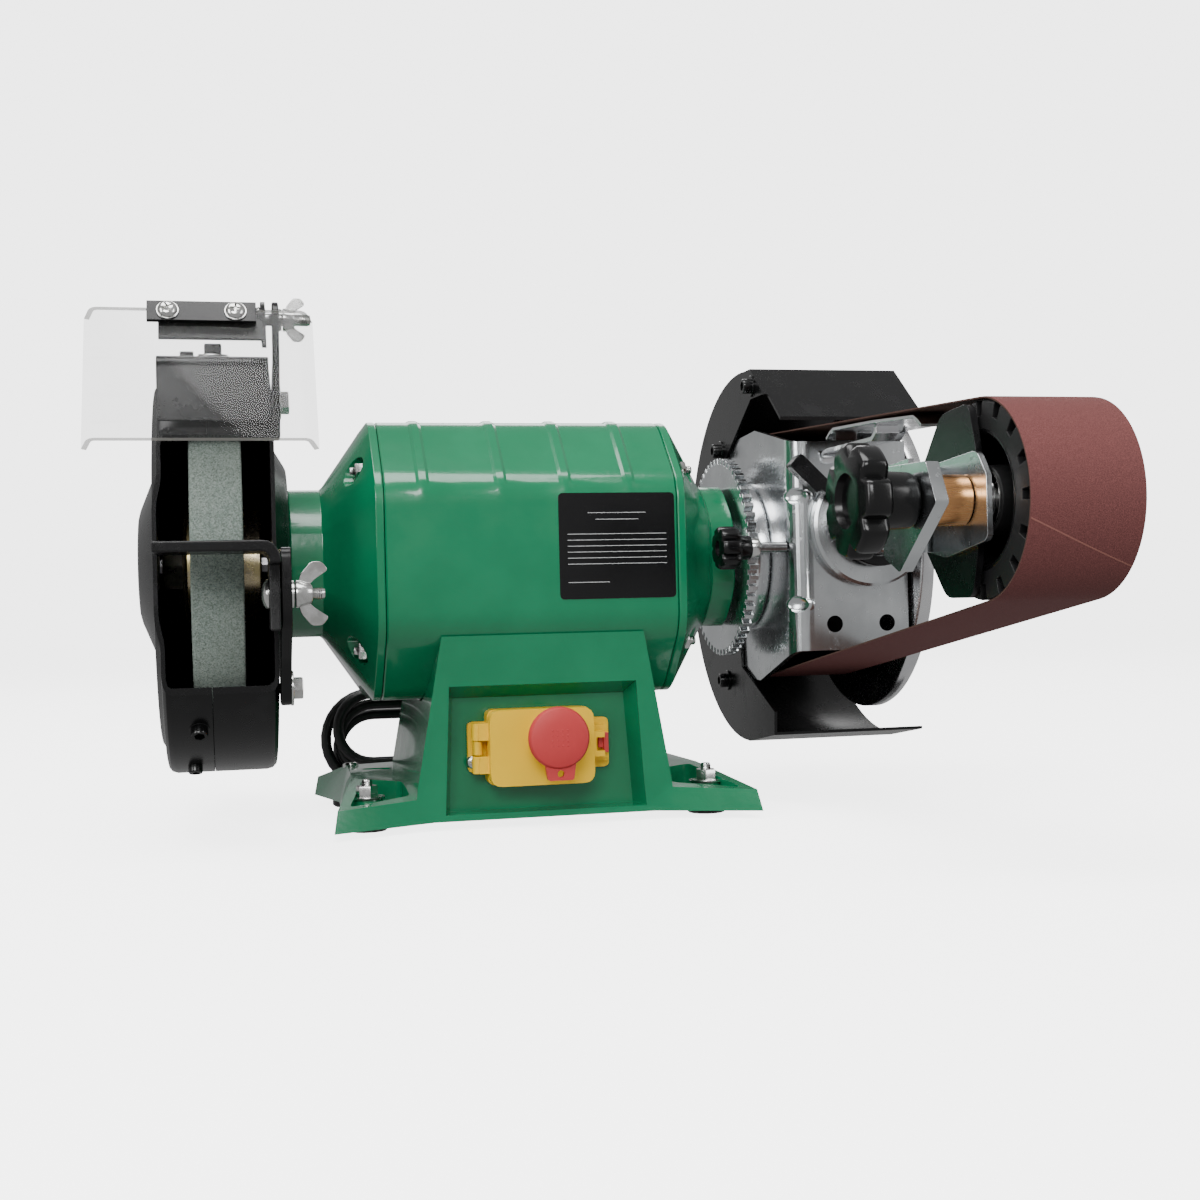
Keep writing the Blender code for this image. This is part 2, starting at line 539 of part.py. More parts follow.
def wing_nut(name, face, centre, reach):
    """A pressed wing nut whose ears point up and down, as far as reach from its middle."""
    size = reach / 0.0152
    hub = [(face, 0.0034), (face, 0.0034 + 0.0030 * size), (face + 0.0050 * size, 0.0034 + 0.0022 * size),
           (face + 0.0080 * size, 0.0046), (face + 0.0080 * size, 0.0034)]
    nut = place(name, turned(hub, 16, "X", centre), zinc, (face, *centre))
    ear = [(0.0010, 0.0042), (0.0058, 0.0042), (0.0130, 0.0122), (0.0120, 0.0152), (0.0085, 0.0152),
           (0.0030, 0.0094)]
    for side in (-1, 1):
        add(nut, prism([(face + x * size, centre[1] + side * max(0.0042, z * size)) for x, z in ear],
                       centre[0] - 0.0014, centre[0] + 0.0014, "Y"))


def eye_shield():
    """A clear bent sheet on a bar, hung from an arm that is bolted to the guard."""
    top = Vector(SHIELD_TOP)
    bottom = Vector(SHIELD_BOTTOM)
    run = bottom - top
    behind = Vector((-run.y, run.x)).normalized()
    if behind.x < 0:
        behind = -behind

    def tilted(profile, start, end, thick):
        """Extrude an (x, back) profile down the tilt of the sheet from start to end."""
        points = [Vector(point) for point in profile]
        runs = [(b - a).normalized() for a, b in zip(points, points[1:])]
        near, far = [], []
        for index, point in enumerate(points):
            mean = (runs[max(index - 1, 0)] + runs[min(index, len(runs) - 1)]).normalized()
            side = Vector((-mean.y, mean.x)) * thick / 2
            near.append(point - side)
            far.append(point + side)
        ends = []
        for share in (start, end):
            origin = top + run * share
            ends.append([(p.x, origin.x + behind.x * p.y, origin.y + behind.y * p.y)
                         for p in near + far[::-1]])
        return lofted(ends)

    hinge = (-0.1380, *SHIELD_PIVOT)
    sheet = place("eye_shield", tilted([(-0.2205, 0.0085), (-0.2145, 0.0015), (-0.2125, 0.0), (-0.1230, 0.0),
                                        (-0.1210, 0.0015), (-0.1165, 0.0085)], 0.0, 1.0, 0.0026),
                  clear_plastic, hinge)
    frame = place("shield_frame", tilted([(-0.1925, -0.0026), (-0.1425, -0.0026)], -0.035, 0.120, 0.0020),
                  black_metal, hinge)
    add(frame, tilted([(-0.1875, 0.0030), (-0.1392, 0.0030)], -0.030, 0.250, 0.0020))
    tab = arc(SHIELD_PIVOT, 0.0085, -80, 100, 6) + [(-0.1005, 0.1190), (-0.1100, 0.0995)]
    add(frame, prism(tab, -0.1402, -0.1380, "X"))
    for x in (-0.1830, -0.1520):
        origin = top + run * 0.045
        lo, hi = origin - behind * 0.0026, origin + behind * 0.0030
        post = lofted([[(x + dx, p.x, p.y + dz) for dx, dz in ((-0.002, -0.002), (0.002, -0.002),
                        (0.002, 0.002), (-0.002, 0.002))] for p in (lo, hi)])
        add(frame, post)
        hole = lofted([[(x + dx, p.x, p.y + dz) for dx, dz in ((-0.0026, -0.0028), (0.0026, -0.0028),
                        (0.0026, 0.0028), (-0.0026, 0.0028))] for p in (origin - behind * 0.01,
                                                                       origin + behind * 0.01)])
        cut(sheet, hole)
    cut(frame, rod("X", -0.15, -0.13, 0.0034, SHIELD_PIVOT))
    arm = place("shield_arm", prism(arc(SHIELD_PIVOT, 0.0085, 0, 180, 8)
                                    + [(-0.0975, 0.0960), (-0.0860, 0.0600), (-0.0680, 0.0600),
                                       (-0.0520, 0.0740), (-0.0520, 0.0880), (-0.0780, 0.0980)], -0.1347, -0.1317, "X"), black_metal)
    cut(arm, rod("X", -0.14, -0.12, 0.0034, SHIELD_PIVOT), rod("X", -0.14, -0.12, 0.0036, ARM_BOLT))
    place("shield_bolt", turned([(-0.1440, 0), (-0.1438, 0.0036), (-0.1425, 0.0058), (-0.1405, 0.0062),
                                 (-0.1405, 0.0030), (-0.1165, 0.0030), (-0.1160, 0.0025), (-0.1160, 0)],
                                16, "X", SHIELD_PIVOT), zinc, (-0.138, *SHIELD_PIVOT))
    wing_nut("shield_wing_nut", -0.1295, SHIELD_PIVOT, SHIELD_EAR)


# ---------------------------------------------------------------- linishing side
def index_and_clamp():
    ring = place("index_ring", prism(toothed(0.0567, 0.0032, INDEX_TEETH), 0.1175, 0.1230, "X"), zinc)
    add(ring, rod("X", RIGHT_NECK_END + GAP, 0.1349, 0.0270, (0, 0), 24))
    cut(ring, rod("X", 0.11, 0.14, 0.0140, (0, 0), 20))
    place("clamp_ring", turned([(0.1233, 0.0273), (0.1233, 0.0400), (0.1250, 0.0420), (0.1342, 0.0420),
                                (0.1350, 0.0412), (0.1350, 0.0273)], 28), polished)
    knob = place("index_lock_knob", prism(lobed(0.0115, 0.0092, 7, LOCK), 0.0965, 0.1070, "X"),
                 black_plastic, (0.1, *LOCK))
    add(knob, turned([(0.1060, 0), (0.1060, 0.0070), (0.1145, 0.0062), (0.1145, 0.0054), (0.1195, 0.0054),
                      (0.1195, 0.0028), (0.1348, 0.0028), (0.1348, 0)], 20, "X", LOCK))


def arm_bracket():
    """One bent zinc plate: a side cheek on the clamp ring and a front cheek for the tension gear."""
    bend = [(CHEEK_X, 0.0480), (CHEEK_X, PLATE_Y + 0.006), (0.1386, PLATE_Y + 0.0018), (0.1428, PLATE_Y),
            (0.2005, PLATE_Y)]
    plate = place("arm_bracket", folded(bend, 0.003, -0.080, 0.080, "Z"), zinc)
    cheek = [(-0.085, -0.0530), (-0.0745, -0.0530), (-0.0180, -0.0710), (0.0330, -0.0680), (0.0460, -0.0400),
             (0.0460, 0.0500), (0.0330, 0.0680), (-0.0180, 0.0710), (-0.0745, 0.0590), (-0.085, 0.0590)]
    combine(plate, "INTERSECT", prism(cheek, 0.12, 0.21, "X"))
    cut(plate, rod("X", 0.13, 0.145, 0.0200, (0, 0), 24), rod("X", 0.13, 0.145, 0.0034, LOCK),
        rod("Y", -0.09, -0.06, 0.0045, (0.1580, -0.0390)), rod("Y", -0.09, -0.06, 0.0045, (0.1880, -0.0390)))


def belt_guard():
    """Folded sheet round the back of the drive wheel and the disc, with a flap above and one below."""
    left, right = 0.1334, 0.2215
    outside = [(-0.0580, 0.0745), (-0.0180, 0.1062)] + arc((0.0, 0.0), 0.1065, 94, -86, 10) \
        + [(-0.0020, -0.1066), (-0.0450, -0.1000)]
    inside = [(-0.0727, 0.0608), (-0.0177, 0.1042)] + arc((0.0, 0.0), 0.1049, 94, -86, 10) \
        + [(-0.0020, -0.1050), (-0.0450, -0.0984), (-0.0650, -0.0953)]
    shell = place("belt_guard", prism(outside, left, right, "X"), black_metal)
    front = [(-0.090, 0.089), (-0.018, 0.089), (0.030, 0.060), (0.030, 0.020), (0.012, -0.040),
             (0.009, -0.064), (-0.046, -0.087), (-0.090, -0.087)]
    cut(shell, prism(inside, left + 0.0016, right + 0.01, "X"), prism(front, left - 0.001, left + 0.003, "X"),
        rod("X", left - 0.001, left + 0.003, 0.0428, (0, 0), 28))


def belt():
    """The belt round both wheels, at rest: two straight runs joined by the two wrapped arcs."""
    def loop(grow):
        reach = math.hypot(IDLER_Y, IDLER_Z)
        heading = math.degrees(math.atan2(IDLER_Z, IDLER_Y))
        lean = math.degrees(math.acos((DRIVE_OUTER - IDLER_OUTER) / reach))
        return (arc((0.0, 0.0), DRIVE_OUTER + grow, heading + lean, heading - lean + 360, 26)
                + arc((IDLER_Y, IDLER_Z), IDLER_OUTER + grow, heading - lean, heading + lean, 16))
    strip = bmesh.new()
    rings = []
    for x, grow in ((BELT_LEFT, 0.0), (BELT_LEFT + BELT_WIDTH, 0.0), (BELT_LEFT + BELT_WIDTH, -BELT_THICK),
                    (BELT_LEFT, -BELT_THICK)):
        rings.append([strip.verts.new((x, y, z)) for y, z in loop(grow)])
    for first, second in zip(rings, rings[1:] + rings[:1]):
        for k in range(len(first)):
            after = (k + 1) % len(first)
            strip.faces.new((first[k], first[after], second[after], second[k]))
    place("abrasive_belt", strip, abrasive)


def platen():
    """The curved plate that backs the belt's upper run, on a leg from the front cheek."""
    def under(y, drop):
        share = (-y - 0.0035) / 0.2771
        return 0.0700 - share * 0.0137 - BELT_THICK - GAP - 0.0006 - drop
    path = [(-0.2150, under(-0.2150, 0.0060)), (-0.2070, under(-0.2070, 0.0016)),
            (-0.1100, under(-0.1100, 0.0012)), (-0.1000, under(-0.1000, 0.0060))]
    plate = place("platen", folded(path, 0.0018, 0.1460, 0.1880, "X"), polished)
    leg = folded([(-0.1500, under(-0.1500, 0.0020)), (-0.1500, 0.0560), (-0.1450, 0.0530),
                  (-0.0830, 0.0530), (-0.0783, 0.0510), (-0.0783, 0.0470)], 0.0025, 0.1520, 0.1640, "X")
    add(plate, leg)


def tension_gear():
    centre = (BOSS_X, IDLER_Z)
    face = PLATE_Y - 0.0015
    boss = place("cam_boss", turned([(face - GAP, 0.0112), (face - GAP, 0.0330), (face - 0.0060, 0.0330),
                              (face - 0.0075, 0.0315), (face - 0.0075, 0.0170), (face - 0.0340, 0.0170),
                              (face - 0.0350, 0.0160), (face - 0.0350, 0.0112)], 24, "Y", centre), zinc)
    cut(boss, box((0.2025, -0.12, -0.04), (0.22, -0.06, 0.06)))
    lever_y = face - 0.0140
    lever = place("tension_lever", turned([(lever_y - 0.003, 0.0173), (lever_y - 0.003, 0.0225),
                                           (lever_y + 0.003, 0.0225), (lever_y + 0.003, 0.0173)],
                                          20, "Y", centre), black_metal, (BOSS_X, lever_y, IDLER_Z))
    away = Vector(LEVER_AIM).normalized()
    across = Vector((-away.y, away.x))
    middle = Vector(centre)
    for start, end, half in ((0.0190, 0.0470, 0.0035), (0.0350, 0.0590, 0.0060)):
        grip = [tuple(middle + away * a + across * b) for a, b in ((start, -half), (end, -half), (end, half),
                                                                 (start, half))]
        add(lever, prism(grip, lever_y - half * 0.8, lever_y + half * 0.8, "Y"))


def idler_group():
    """Sliding bar, black carrier plate, fork, bush, axle, idler wheel and tracking knob."""
    centre = (BOSS_X, IDLER_Z)
    idle = (IDLER_Y, IDLER_Z)
    bar_end = -0.2290
    bar = place("tension_bar", rod("Y", bar_end, -0.0880, 0.0108, centre, 24), steel)
    add(bar, box((0.1330, bar_end - 0.0020, IDLER_Z - 0.015), (0.1890, bar_end + 0.0030, IDLER_Z + 0.015)))
    octagon = [(idle[0] + y, idle[1] + z) for y, z in
               ((0.0470, -0.0150), (0.0470, 0.0150), (0.0260, 0.0380), (0.0000, 0.0400), (-0.0060, 0.0200),
                (-0.0060, -0.0200), (0.0000, -0.0400), (0.0240, -0.0400))]
    carrier = place("carrier_plate", prism(octagon, 0.1378, 0.1408, "X"), black_metal)
    cut(carrier, rod("X", 0.13, 0.15, 0.0062, idle))
    cut(bar, prism([(y, z) for y, z in octagon], 0.1375, 0.1411, "X"),
        box((0.12, bar_end - 0.01, -0.01), (0.1375, bar_end + 0.004, 0.04)))
    fork = place("idler_fork", folded([(0.1167, IDLER_Y + 0.010), (0.1167, IDLER_Y + 0.030),
                                       (0.1184, IDLER_Y + 0.0345), (0.1345, IDLER_Y + 0.0345),
                                       (0.1362, IDLER_Y + 0.030), (0.1362, IDLER_Y - 0.020)],
                                      0.0026, IDLER_Z - 0.030, IDLER_Z + 0.022, "Z"), zinc)
    point = [(IDLER_Y - 0.020, IDLER_Z - 0.017), (IDLER_Y + 0.018, IDLER_Z - 0.023),
             (IDLER_Y + 0.045, IDLER_Z - 0.018), (IDLER_Y + 0.045, IDLER_Z + 0.016),
             (IDLER_Y - 0.012, IDLER_Z + 0.0195), (IDLER_Y - 0.022, IDLER_Z + 0.006)]
    combine(fork, "INTERSECT", prism(point, 0.11, 0.15, "X"))
    add(fork, prism([(IDLER_Y - 0.022, IDLER_Z - 0.002), (IDLER_Y + 0.014, IDLER_Z - 0.029),
                     (IDLER_Y + 0.030, IDLER_Z - 0.022), (IDLER_Y + 0.030, IDLER_Z + 0.016),
                     (IDLER_Y - 0.013, IDLER_Z + 0.0150)], 0.1122, 0.1180, "X"))
    cut(fork, rod("X", 0.11, 0.15, 0.0062, idle))
    place("axle_bush", turned([(0.1183, 0.0062), (0.1183, 0.0105), (0.1345, 0.0105), (0.1345, 0.0062)],
                              24, "X", idle), bronze)
    place("idler_axle", turned([(0.1120, 0), (0.1120, 0.0058), (0.1880, 0.0058), (0.1885, 0.0090),
                                (0.1910, 0.0090), (0.1915, 0.0080), (0.1915, 0)], 20, "X", idle), steel)
    rim = IDLER_OUTER - BELT_THICK - GAP
    left, right = BELT_LEFT + 0.0006, 0.1880
    place("idler_wheel", turned([(left, 0.0285), (left, rim - 0.0008), (left + 0.0008, rim),
                                         (right - 0.0008, rim), (right, rim - 0.0008), (right, 0.0285),
                                         (0.1700, 0.0280), (0.1700, 0.0150), (0.1850, 0.0140),
                                         (0.1850, 0.0061), (0.1445, 0.0061), (0.1445, 0.0140),
                                         (0.1600, 0.0150), (0.1600, 0.0280)], 26, "X", idle), rubber)
    knob = place("tracking_knob", prism(lobed(0.0235, 0.0190, 7, idle), 0.0830, 0.0945, "X"), black_plastic,
                 (0.09, *idle))
    add(knob, turned([(0.0930, 0), (0.0930, 0.0122), (0.1105, 0.0114), (0.1117, 0.0100), (0.1117, 0)],
                     24, "X", idle))
    cut(knob, rod("X", 0.080, 0.0860, 0.0090, idle, 20))


# ---------------------------------------------------------------- cord
def cord():
    """Mains flex: grip in the pedestal's back, a short free lead, a hank on its edge and the plug."""
    place("cord_grip", turned([(0.0510, 0.0036), (0.0510, 0.0078), (0.0620, 0.0078), (0.0620, 0.0100),
                               (0.0660, 0.0100), (0.0670, 0.0070), (0.0930, 0.0052), (0.0930, 0.0036)],
                              16, "Y", (CORD_EXIT_X, CORD_EXIT_Z)), black_plastic)
    lead = bpy.data.curves.new("cord_lead", "CURVE")
    lead.dimensions = "3D"
    lead.bevel_depth = CORD_RADIUS
    lead.bevel_resolution = 2
    lead.render_resolution_u = 0
    lead.use_fill_caps = True
    spline = lead.splines.new("POLY")
    route = [(0.0933, 0.0), (0.1010, -0.0002), (0.1095, -0.0008), (0.1176, -0.0012)]
    spline.points.add(len(route) - 1)
    for point, (y, drop) in zip(spline.points, route):
        point.co = (CORD_EXIT_X, y, CORD_EXIT_Z + drop, 1.0)
    lead.materials.append(rubber)
    item = bpy.data.objects.new("cord_lead", lead)
    item.parent = spindle_line
    bpy.context.scene.collection.objects.link(item)
    height = BENCH + HANK_RADIUS
    loop = arc((HANK_LEFT + HANK_RADIUS, height), HANK_RADIUS, 90, 270, 8)
    loop += arc((HANK_RIGHT - HANK_RADIUS, height), HANK_RADIUS, -90, 90, 8)
    place("cord_hank", prism(loop, HANK_FRONT, HANK_BACK, "Y"), rubber)
    centre = (PLUG_X, BENCH + 0.0182)
    plug = place("plug", turned([(0.1463, 0), (0.1463, 0.0050), (0.1640, 0.0070), (0.1665, 0.0150),
                                 (0.1700, 0.0180), (0.1930, 0.0180), (0.1950, 0.0165), (0.1950, 0)],
                                20, "Y", centre), black_plastic)
    for x, z, wide, tall in ((-0.0068, 0.0040, 0.0063, 0.0016), (0.0068, 0.0040, 0.0063, 0.0016),
                             (0.0, -0.0080, 0.0016, 0.0063)):
        add(plug, box((centre[0] + x - wide / 2, 0.1940, centre[1] + z - tall / 2),
                      (centre[0] + x + wide / 2, 0.2120, centre[1] + z + tall / 2)))


def main():
    base_casting()
    base_small_parts()
    motor_housing()
    end_bell("left_end_bell", -1, BODY_LEFT_END, LEFT_CONE_END, LEFT_NECK_END)
    end_bell("right_end_bell", 1, BODY_RIGHT_END, RIGHT_CONE_END, RIGHT_NECK_END)
    electrical_core()
    bearing("left_bearing", LEFT_NECK_END + 0.0042 + GAP / 2, -1)
    bearing("right_bearing", RIGHT_NECK_END - 0.0042 - GAP / 2, 1)
    switch()
    spindle()
    drive_side()
    wheel_guard()
    spark_deflector()
    tool_rest()
    eye_shield()
    index_and_clamp()
    arm_bracket()
    belt_guard()
    belt()
    platen()
    tension_gear()
    idler_group()
    cord()


for old in list(bpy.data.objects):
    bpy.data.objects.remove(old, do_unlink=True)

green = paint("green_enamel", (0.010, 0.235, 0.108), 0.22)
black_metal = paint("black_powder_coat", (0.012, 0.012, 0.013), 0.35)
black_plastic = paint("black_plastic", (0.010, 0.010, 0.011), 0.30)
rubber = paint("rubber", (0.016, 0.016, 0.017), 0.65)
zinc = paint("bright_zinc", (0.62, 0.63, 0.64), 0.28, 1.0)
polished = paint("polished_steel", (0.70, 0.70, 0.71), 0.15, 1.0)
steel = paint("steel", (0.42, 0.42, 0.43), 0.35, 1.0)
aluminium = paint("aluminium", (0.72, 0.72, 0.73), 0.32, 1.0)
yellow_zinc = paint("yellow_zinc", (0.68, 0.56, 0.28), 0.30, 1.0)
bronze = paint("bronze", (0.72, 0.38, 0.18), 0.30, 1.0)
copper = paint("winding_copper", (0.60, 0.22, 0.09), 0.45, 1.0)
yellow = paint("yellow_plastic", (0.86, 0.56, 0.03), 0.38)
red = paint("red_plastic", (0.56, 0.06, 0.06), 0.45)
green_button = paint("green_plastic", (0.02, 0.40, 0.10), 0.40)
grit = paint("vitrified_grit", (0.20, 0.25, 0.22), 0.90)
abrasive = paint("abrasive_cloth", (0.20, 0.06, 0.055), 0.85)
clear_plastic = paint("clear_polycarbonate", (0.95, 0.96, 0.96), 0.05, 0.0, 0.25)

spindle_line = bpy.data.objects.new("spindle_line", None)
spindle_line.location = (0.0, SPINDLE_BACK, SPINDLE_HEIGHT)
bpy.context.scene.collection.objects.link(spindle_line)
main()
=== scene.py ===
# %% [markdown]
# # A bench grinder with a belt arm
#
# The machine has one turning line. A motor in the middle carries a grinding wheel on its left end, and on
# its right end a drive wheel for a long abrasive belt. This lesson dresses a jointed frame of that machine:
# the frame already knows where each piece is and how it moves, so each step only has to give one piece its
# real edges, its fasteners and its finish.
#
# Everything below is drawn in millimetres about the middle of the spindle, because on the real machine
# nearly every dimension is taken from that line. `piece` turns millimetres into metres at the end.

# %% Load the frame
import math

import bmesh
import bpy
from mathutils import Matrix, Vector


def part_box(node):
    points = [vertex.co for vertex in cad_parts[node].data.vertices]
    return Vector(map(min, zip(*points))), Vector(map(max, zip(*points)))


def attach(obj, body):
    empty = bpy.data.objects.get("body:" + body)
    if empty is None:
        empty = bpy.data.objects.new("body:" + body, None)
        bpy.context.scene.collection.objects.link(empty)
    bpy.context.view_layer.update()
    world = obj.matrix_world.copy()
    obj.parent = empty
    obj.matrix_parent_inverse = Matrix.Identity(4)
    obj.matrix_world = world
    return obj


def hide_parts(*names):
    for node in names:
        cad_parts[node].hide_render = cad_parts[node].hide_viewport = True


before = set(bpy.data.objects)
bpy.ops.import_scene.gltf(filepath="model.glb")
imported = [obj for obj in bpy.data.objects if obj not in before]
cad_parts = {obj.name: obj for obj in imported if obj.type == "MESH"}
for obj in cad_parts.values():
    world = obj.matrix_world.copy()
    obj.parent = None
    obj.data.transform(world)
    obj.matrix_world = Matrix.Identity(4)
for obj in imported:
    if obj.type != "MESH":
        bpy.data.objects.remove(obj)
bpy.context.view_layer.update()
shaft_low, shaft_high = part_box("spindle_shaft")
SPINDLE = Vector((0.0, (shaft_low[1] + shaft_high[1]) / 2, (shaft_low[2] + shaft_high[2]) / 2))
MM = 0.001
BENCH = -SPINDLE.z / MM
print("spindle line at", [round(value, 4) for value in SPINDLE])

# %% [markdown]
# ## Camera
#
# A product shot of a long machine is taken from about 0.9 m away and from one side, with the camera a little
# below the spindle, so that the body doesn't taper. The camera is placed from its three turns, yaw, pitch and
# roll, because those are what a photographer sets on a tripod head.

# %% Camera
EYE = Vector((-160.05, -875.01, -24.35))
YAW, PITCH, ROLL = (math.radians(angle) for angle in (13.31, -0.08, -1.37))
FOCAL_LENGTH, SENSOR_WIDTH, NEAREST = 47.574, 36.0, 0.01

ahead = Vector((math.sin(YAW) * math.cos(PITCH), math.cos(YAW) * math.cos(PITCH), -math.sin(PITCH)))
level = Vector((math.cos(YAW), -math.sin(YAW), 0.0))
upright = level.cross(ahead)
right = level * math.cos(ROLL) + upright * math.sin(ROLL)
above = upright * math.cos(ROLL) - level * math.sin(ROLL)

lens = bpy.data.cameras.new("camera")
lens.lens, lens.sensor_width, lens.clip_start = FOCAL_LENGTH, SENSOR_WIDTH, NEAREST
camera = bpy.data.objects.new("camera", lens)
aim = Matrix((right, above, -ahead)).transposed().to_4x4()
camera.matrix_world = Matrix.Translation(EYE * MM + SPINDLE) @ aim
bpy.context.scene.collection.objects.link(camera)
bpy.context.scene.camera = camera
print("camera height", round(camera.matrix_world.translation.z, 3), "m")

# %% [markdown]
# ## Drawing solids
#
# Sheet metal, castings and turned parts are all made from a few moves: push an outline along a line,
# revolve a profile, skin a row of sections, or fold a strip. Primitives and hand modelling could give the
# same shapes, but a move with real dimensions says how the part is made and is easy to correct.

# %% Outlines
def along(axis, distance, u, v):
    """A point from its distance along an axis and its two coordinates across it."""
    return {"X": (distance, u, v), "Y": (u, distance, v), "Z": (u, v, distance)}[axis]


def arc(centre, radius, start, end, count):
    """Points on an arc between two headings in degrees."""
    angles = [math.radians(start + (end - start) * step / count) for step in range(count + 1)]
    return [(centre[0] + radius * math.cos(angle), centre[1] + radius * math.sin(angle)) for angle in angles]


def hexagon(flats, centre=(0.0, 0.0)):
    return arc(centre, flats / math.sqrt(3), 0, 300, 5)


def rounded(outline, radius, steps=4):
    """The same outline with each corner eased by an arc-like curve."""
    eased = []
    most_of_half = 0.48
    for index, corner in enumerate(outline):
        here = Vector(corner)
        before = Vector(outline[index - 1]) - here
        after = Vector(outline[(index + 1) % len(outline)]) - here
        reach = min(radius, before.length * most_of_half, after.length * most_of_half)
        before, after = before.normalized() * reach, after.normalized() * reach
        for step in range(steps + 1):
            share = step / steps
            eased.append(tuple(here + before * (1 - share) ** 2 + after * share ** 2))
    return eased


def lobed(outer, inner, lobes, centre):
    """A star knob's outline: wide lobes with short round valleys."""
    outline = []
    points_each = 14
    for step in range(lobes * points_each):
        phase = step / points_each % 1.0
        valley = max(0.0, math.cos(2 * math.pi * phase)) ** 3
        angle = 2 * math.pi * step / (lobes * points_each)
        radius = outer - (outer - inner) * valley
        outline.append((centre[0] + radius * math.cos(angle), centre[1] + radius * math.sin(angle)))
    return outline


print("a hexagon 10 mm across its flats is", round(20 / math.sqrt(3), 2), "mm across its corners")

# %% Solids
def extrude(outline, low, high, axis="X"):
    """Push an outline straight along an axis."""
    solid = bmesh.new()
    ends = [[solid.verts.new(along(axis, at, u, v)) for u, v in outline] for at in (low, high)]
    solid.faces.new(ends[0])
    solid.faces.new(reversed(ends[1]))
    for here in range(len(outline)):
        after = (here + 1) % len(outline)
        solid.faces.new((ends[0][here], ends[1][here], ends[1][after], ends[0][after]))
    return solid


def block(low, high):
    return extrude([(low[0], low[1]), (high[0], low[1]), (high[0], high[1]), (low[0], high[1])],
                   low[2], high[2], "Z")


def skin(sections, ring=False):
    """Join sections that have equal numbers of points, closed by end faces or into a ring."""
    solid = bmesh.new()
    rows = [[solid.verts.new(point) for point in section] for section in sections]
    for first, second in list(zip(rows, rows[1:])) + ([(rows[-1], rows[0])] if ring else []):
        for here in range(len(first)):
            after = (here + 1) % len(first)
            solid.faces.new((first[here], first[after], second[after], second[here]))
    if not ring:
        solid.faces.new(rows[0])
        solid.faces.new(reversed(rows[-1]))
    return solid


def turn(profile, steps=64, axis="X", centre=(0.0, 0.0)):
    """Revolve (distance, radius) points. A profile that starts and ends at radius 0 is solid."""
    solid = bmesh.new()
    rows = []
    for distance, radius in profile:
        circle = arc(centre, radius, 0, 360 * (1 - 1 / steps), steps - 1) if radius else [centre]
        rows.append([solid.verts.new(along(axis, distance, u, v)) for u, v in circle])
    ring = profile[0][1] > 0 and profile[-1][1] > 0
    for first, second in list(zip(rows, rows[1:])) + ([(rows[-1], rows[0])] if ring else []):
        for here in range(steps):
            after = (here + 1) % steps
            corners = [first[here % len(first)], first[after % len(first)],
                       second[after % len(second)], second[here % len(second)]]
            solid.faces.new(list(dict.fromkeys(corners)))
    return solid


def bar(axis, low, high, radius, centre, steps=32):
    return turn([(low, 0), (low, radius), (high, radius), (high, 0)], steps, axis, centre)


def fold(path, thick, low, high, axis="X"):
    """A strip of sheet that follows a path, with mitred folds."""
    points = [Vector(point) for point in path]
    runs = [(after - before).normalized() for before, after in zip(points, points[1:])]
    near, far = [], []
    for index, point in enumerate(points):
        mean = runs[max(index - 1, 0)] + runs[min(index, len(runs) - 1)]
        across = Vector((-mean.y, mean.x)).normalized()
        ahead_of = runs[min(index, len(runs) - 1)]
        offset = across * (thick / 2 / max(0.5, across.dot(Vector((-ahead_of.y, ahead_of.x)))))
        near.append(tuple(point + offset))
        far.append(tuple(point - offset))
    return extrude(near + far[::-1], low, high, axis)


def eased_path(path, radius, steps=5):
    """An open path with its inner corners rounded, as a press brake leaves them."""
    ends = rounded(path, radius, steps)
    return [path[0]] + ends[steps + 1:-(steps + 1)] + [path[-1]]


def moved(solid, matrix):
    bmesh.ops.transform(solid, matrix=matrix, verts=solid.verts)
    return solid


def aimed(solid, at, aim, spin=0.0):
    """Turn a solid drawn up +Z so that it points along aim, and put it at a place."""
    way = Vector(aim).to_track_quat("Z", "Y").to_matrix().to_4x4()
    return moved(solid, Matrix.Translation(Vector(at)) @ way @ Matrix.Rotation(spin, 4, "Z"))


def merged(*solids):
    """Several solids in one mesh, for pieces that sit inside or against each other."""
    whole = solids[0]
    for extra in solids[1:]:
        spare = bpy.data.meshes.new("spare")
        extra.to_mesh(spare)
        whole.from_mesh(spare)
        bpy.data.meshes.remove(spare)
        extra.free()
    return whole


sample = turn([(0, 0), (0, 5), (10, 5), (10, 0)])
print("a turned bar of 64 sides has", len(sample.faces), "faces")
sample.free()

# %% [markdown]
# ## From solid to piece
#
# A finished piece is a mesh with soft edges, a finish, and the body that it moves with. Real edges are never
# sharp: castings are fettled, plastic has moulded radii and cut sheet is deburred. A Bevel modifier gives
# that edge its highlight and keeps the flats flat, where subdivision would need support loops everywhere.

# %% Pieces
def mesh_of(name, solid):
    bmesh.ops.recalc_face_normals(solid, faces=solid.faces)
    bmesh.ops.scale(solid, vec=(MM, MM, MM), verts=solid.verts)
    mesh = bpy.data.meshes.new(name)
    solid.to_mesh(mesh)
    solid.free()
    return mesh


def carve(item, operation, *solids):
    """Cut solids out of a piece, or add them to it, and keep the result as plain mesh."""
    for solid in solids:
        other = bpy.data.objects.new("carver", mesh_of("carver", solid))
        other.location = item.location
        bpy.context.scene.collection.objects.link(other)
        step = item.modifiers.new("carve", "BOOLEAN")
        step.operation, step.object, step.solver = operation, other, "EXACT"
        bpy.context.view_layer.update()
        result = bpy.data.meshes.new_from_object(item.evaluated_get(bpy.context.evaluated_depsgraph_get()))
        item.modifiers.clear()
        item.data = result
        bpy.data.objects.remove(other, do_unlink=True)
    return item


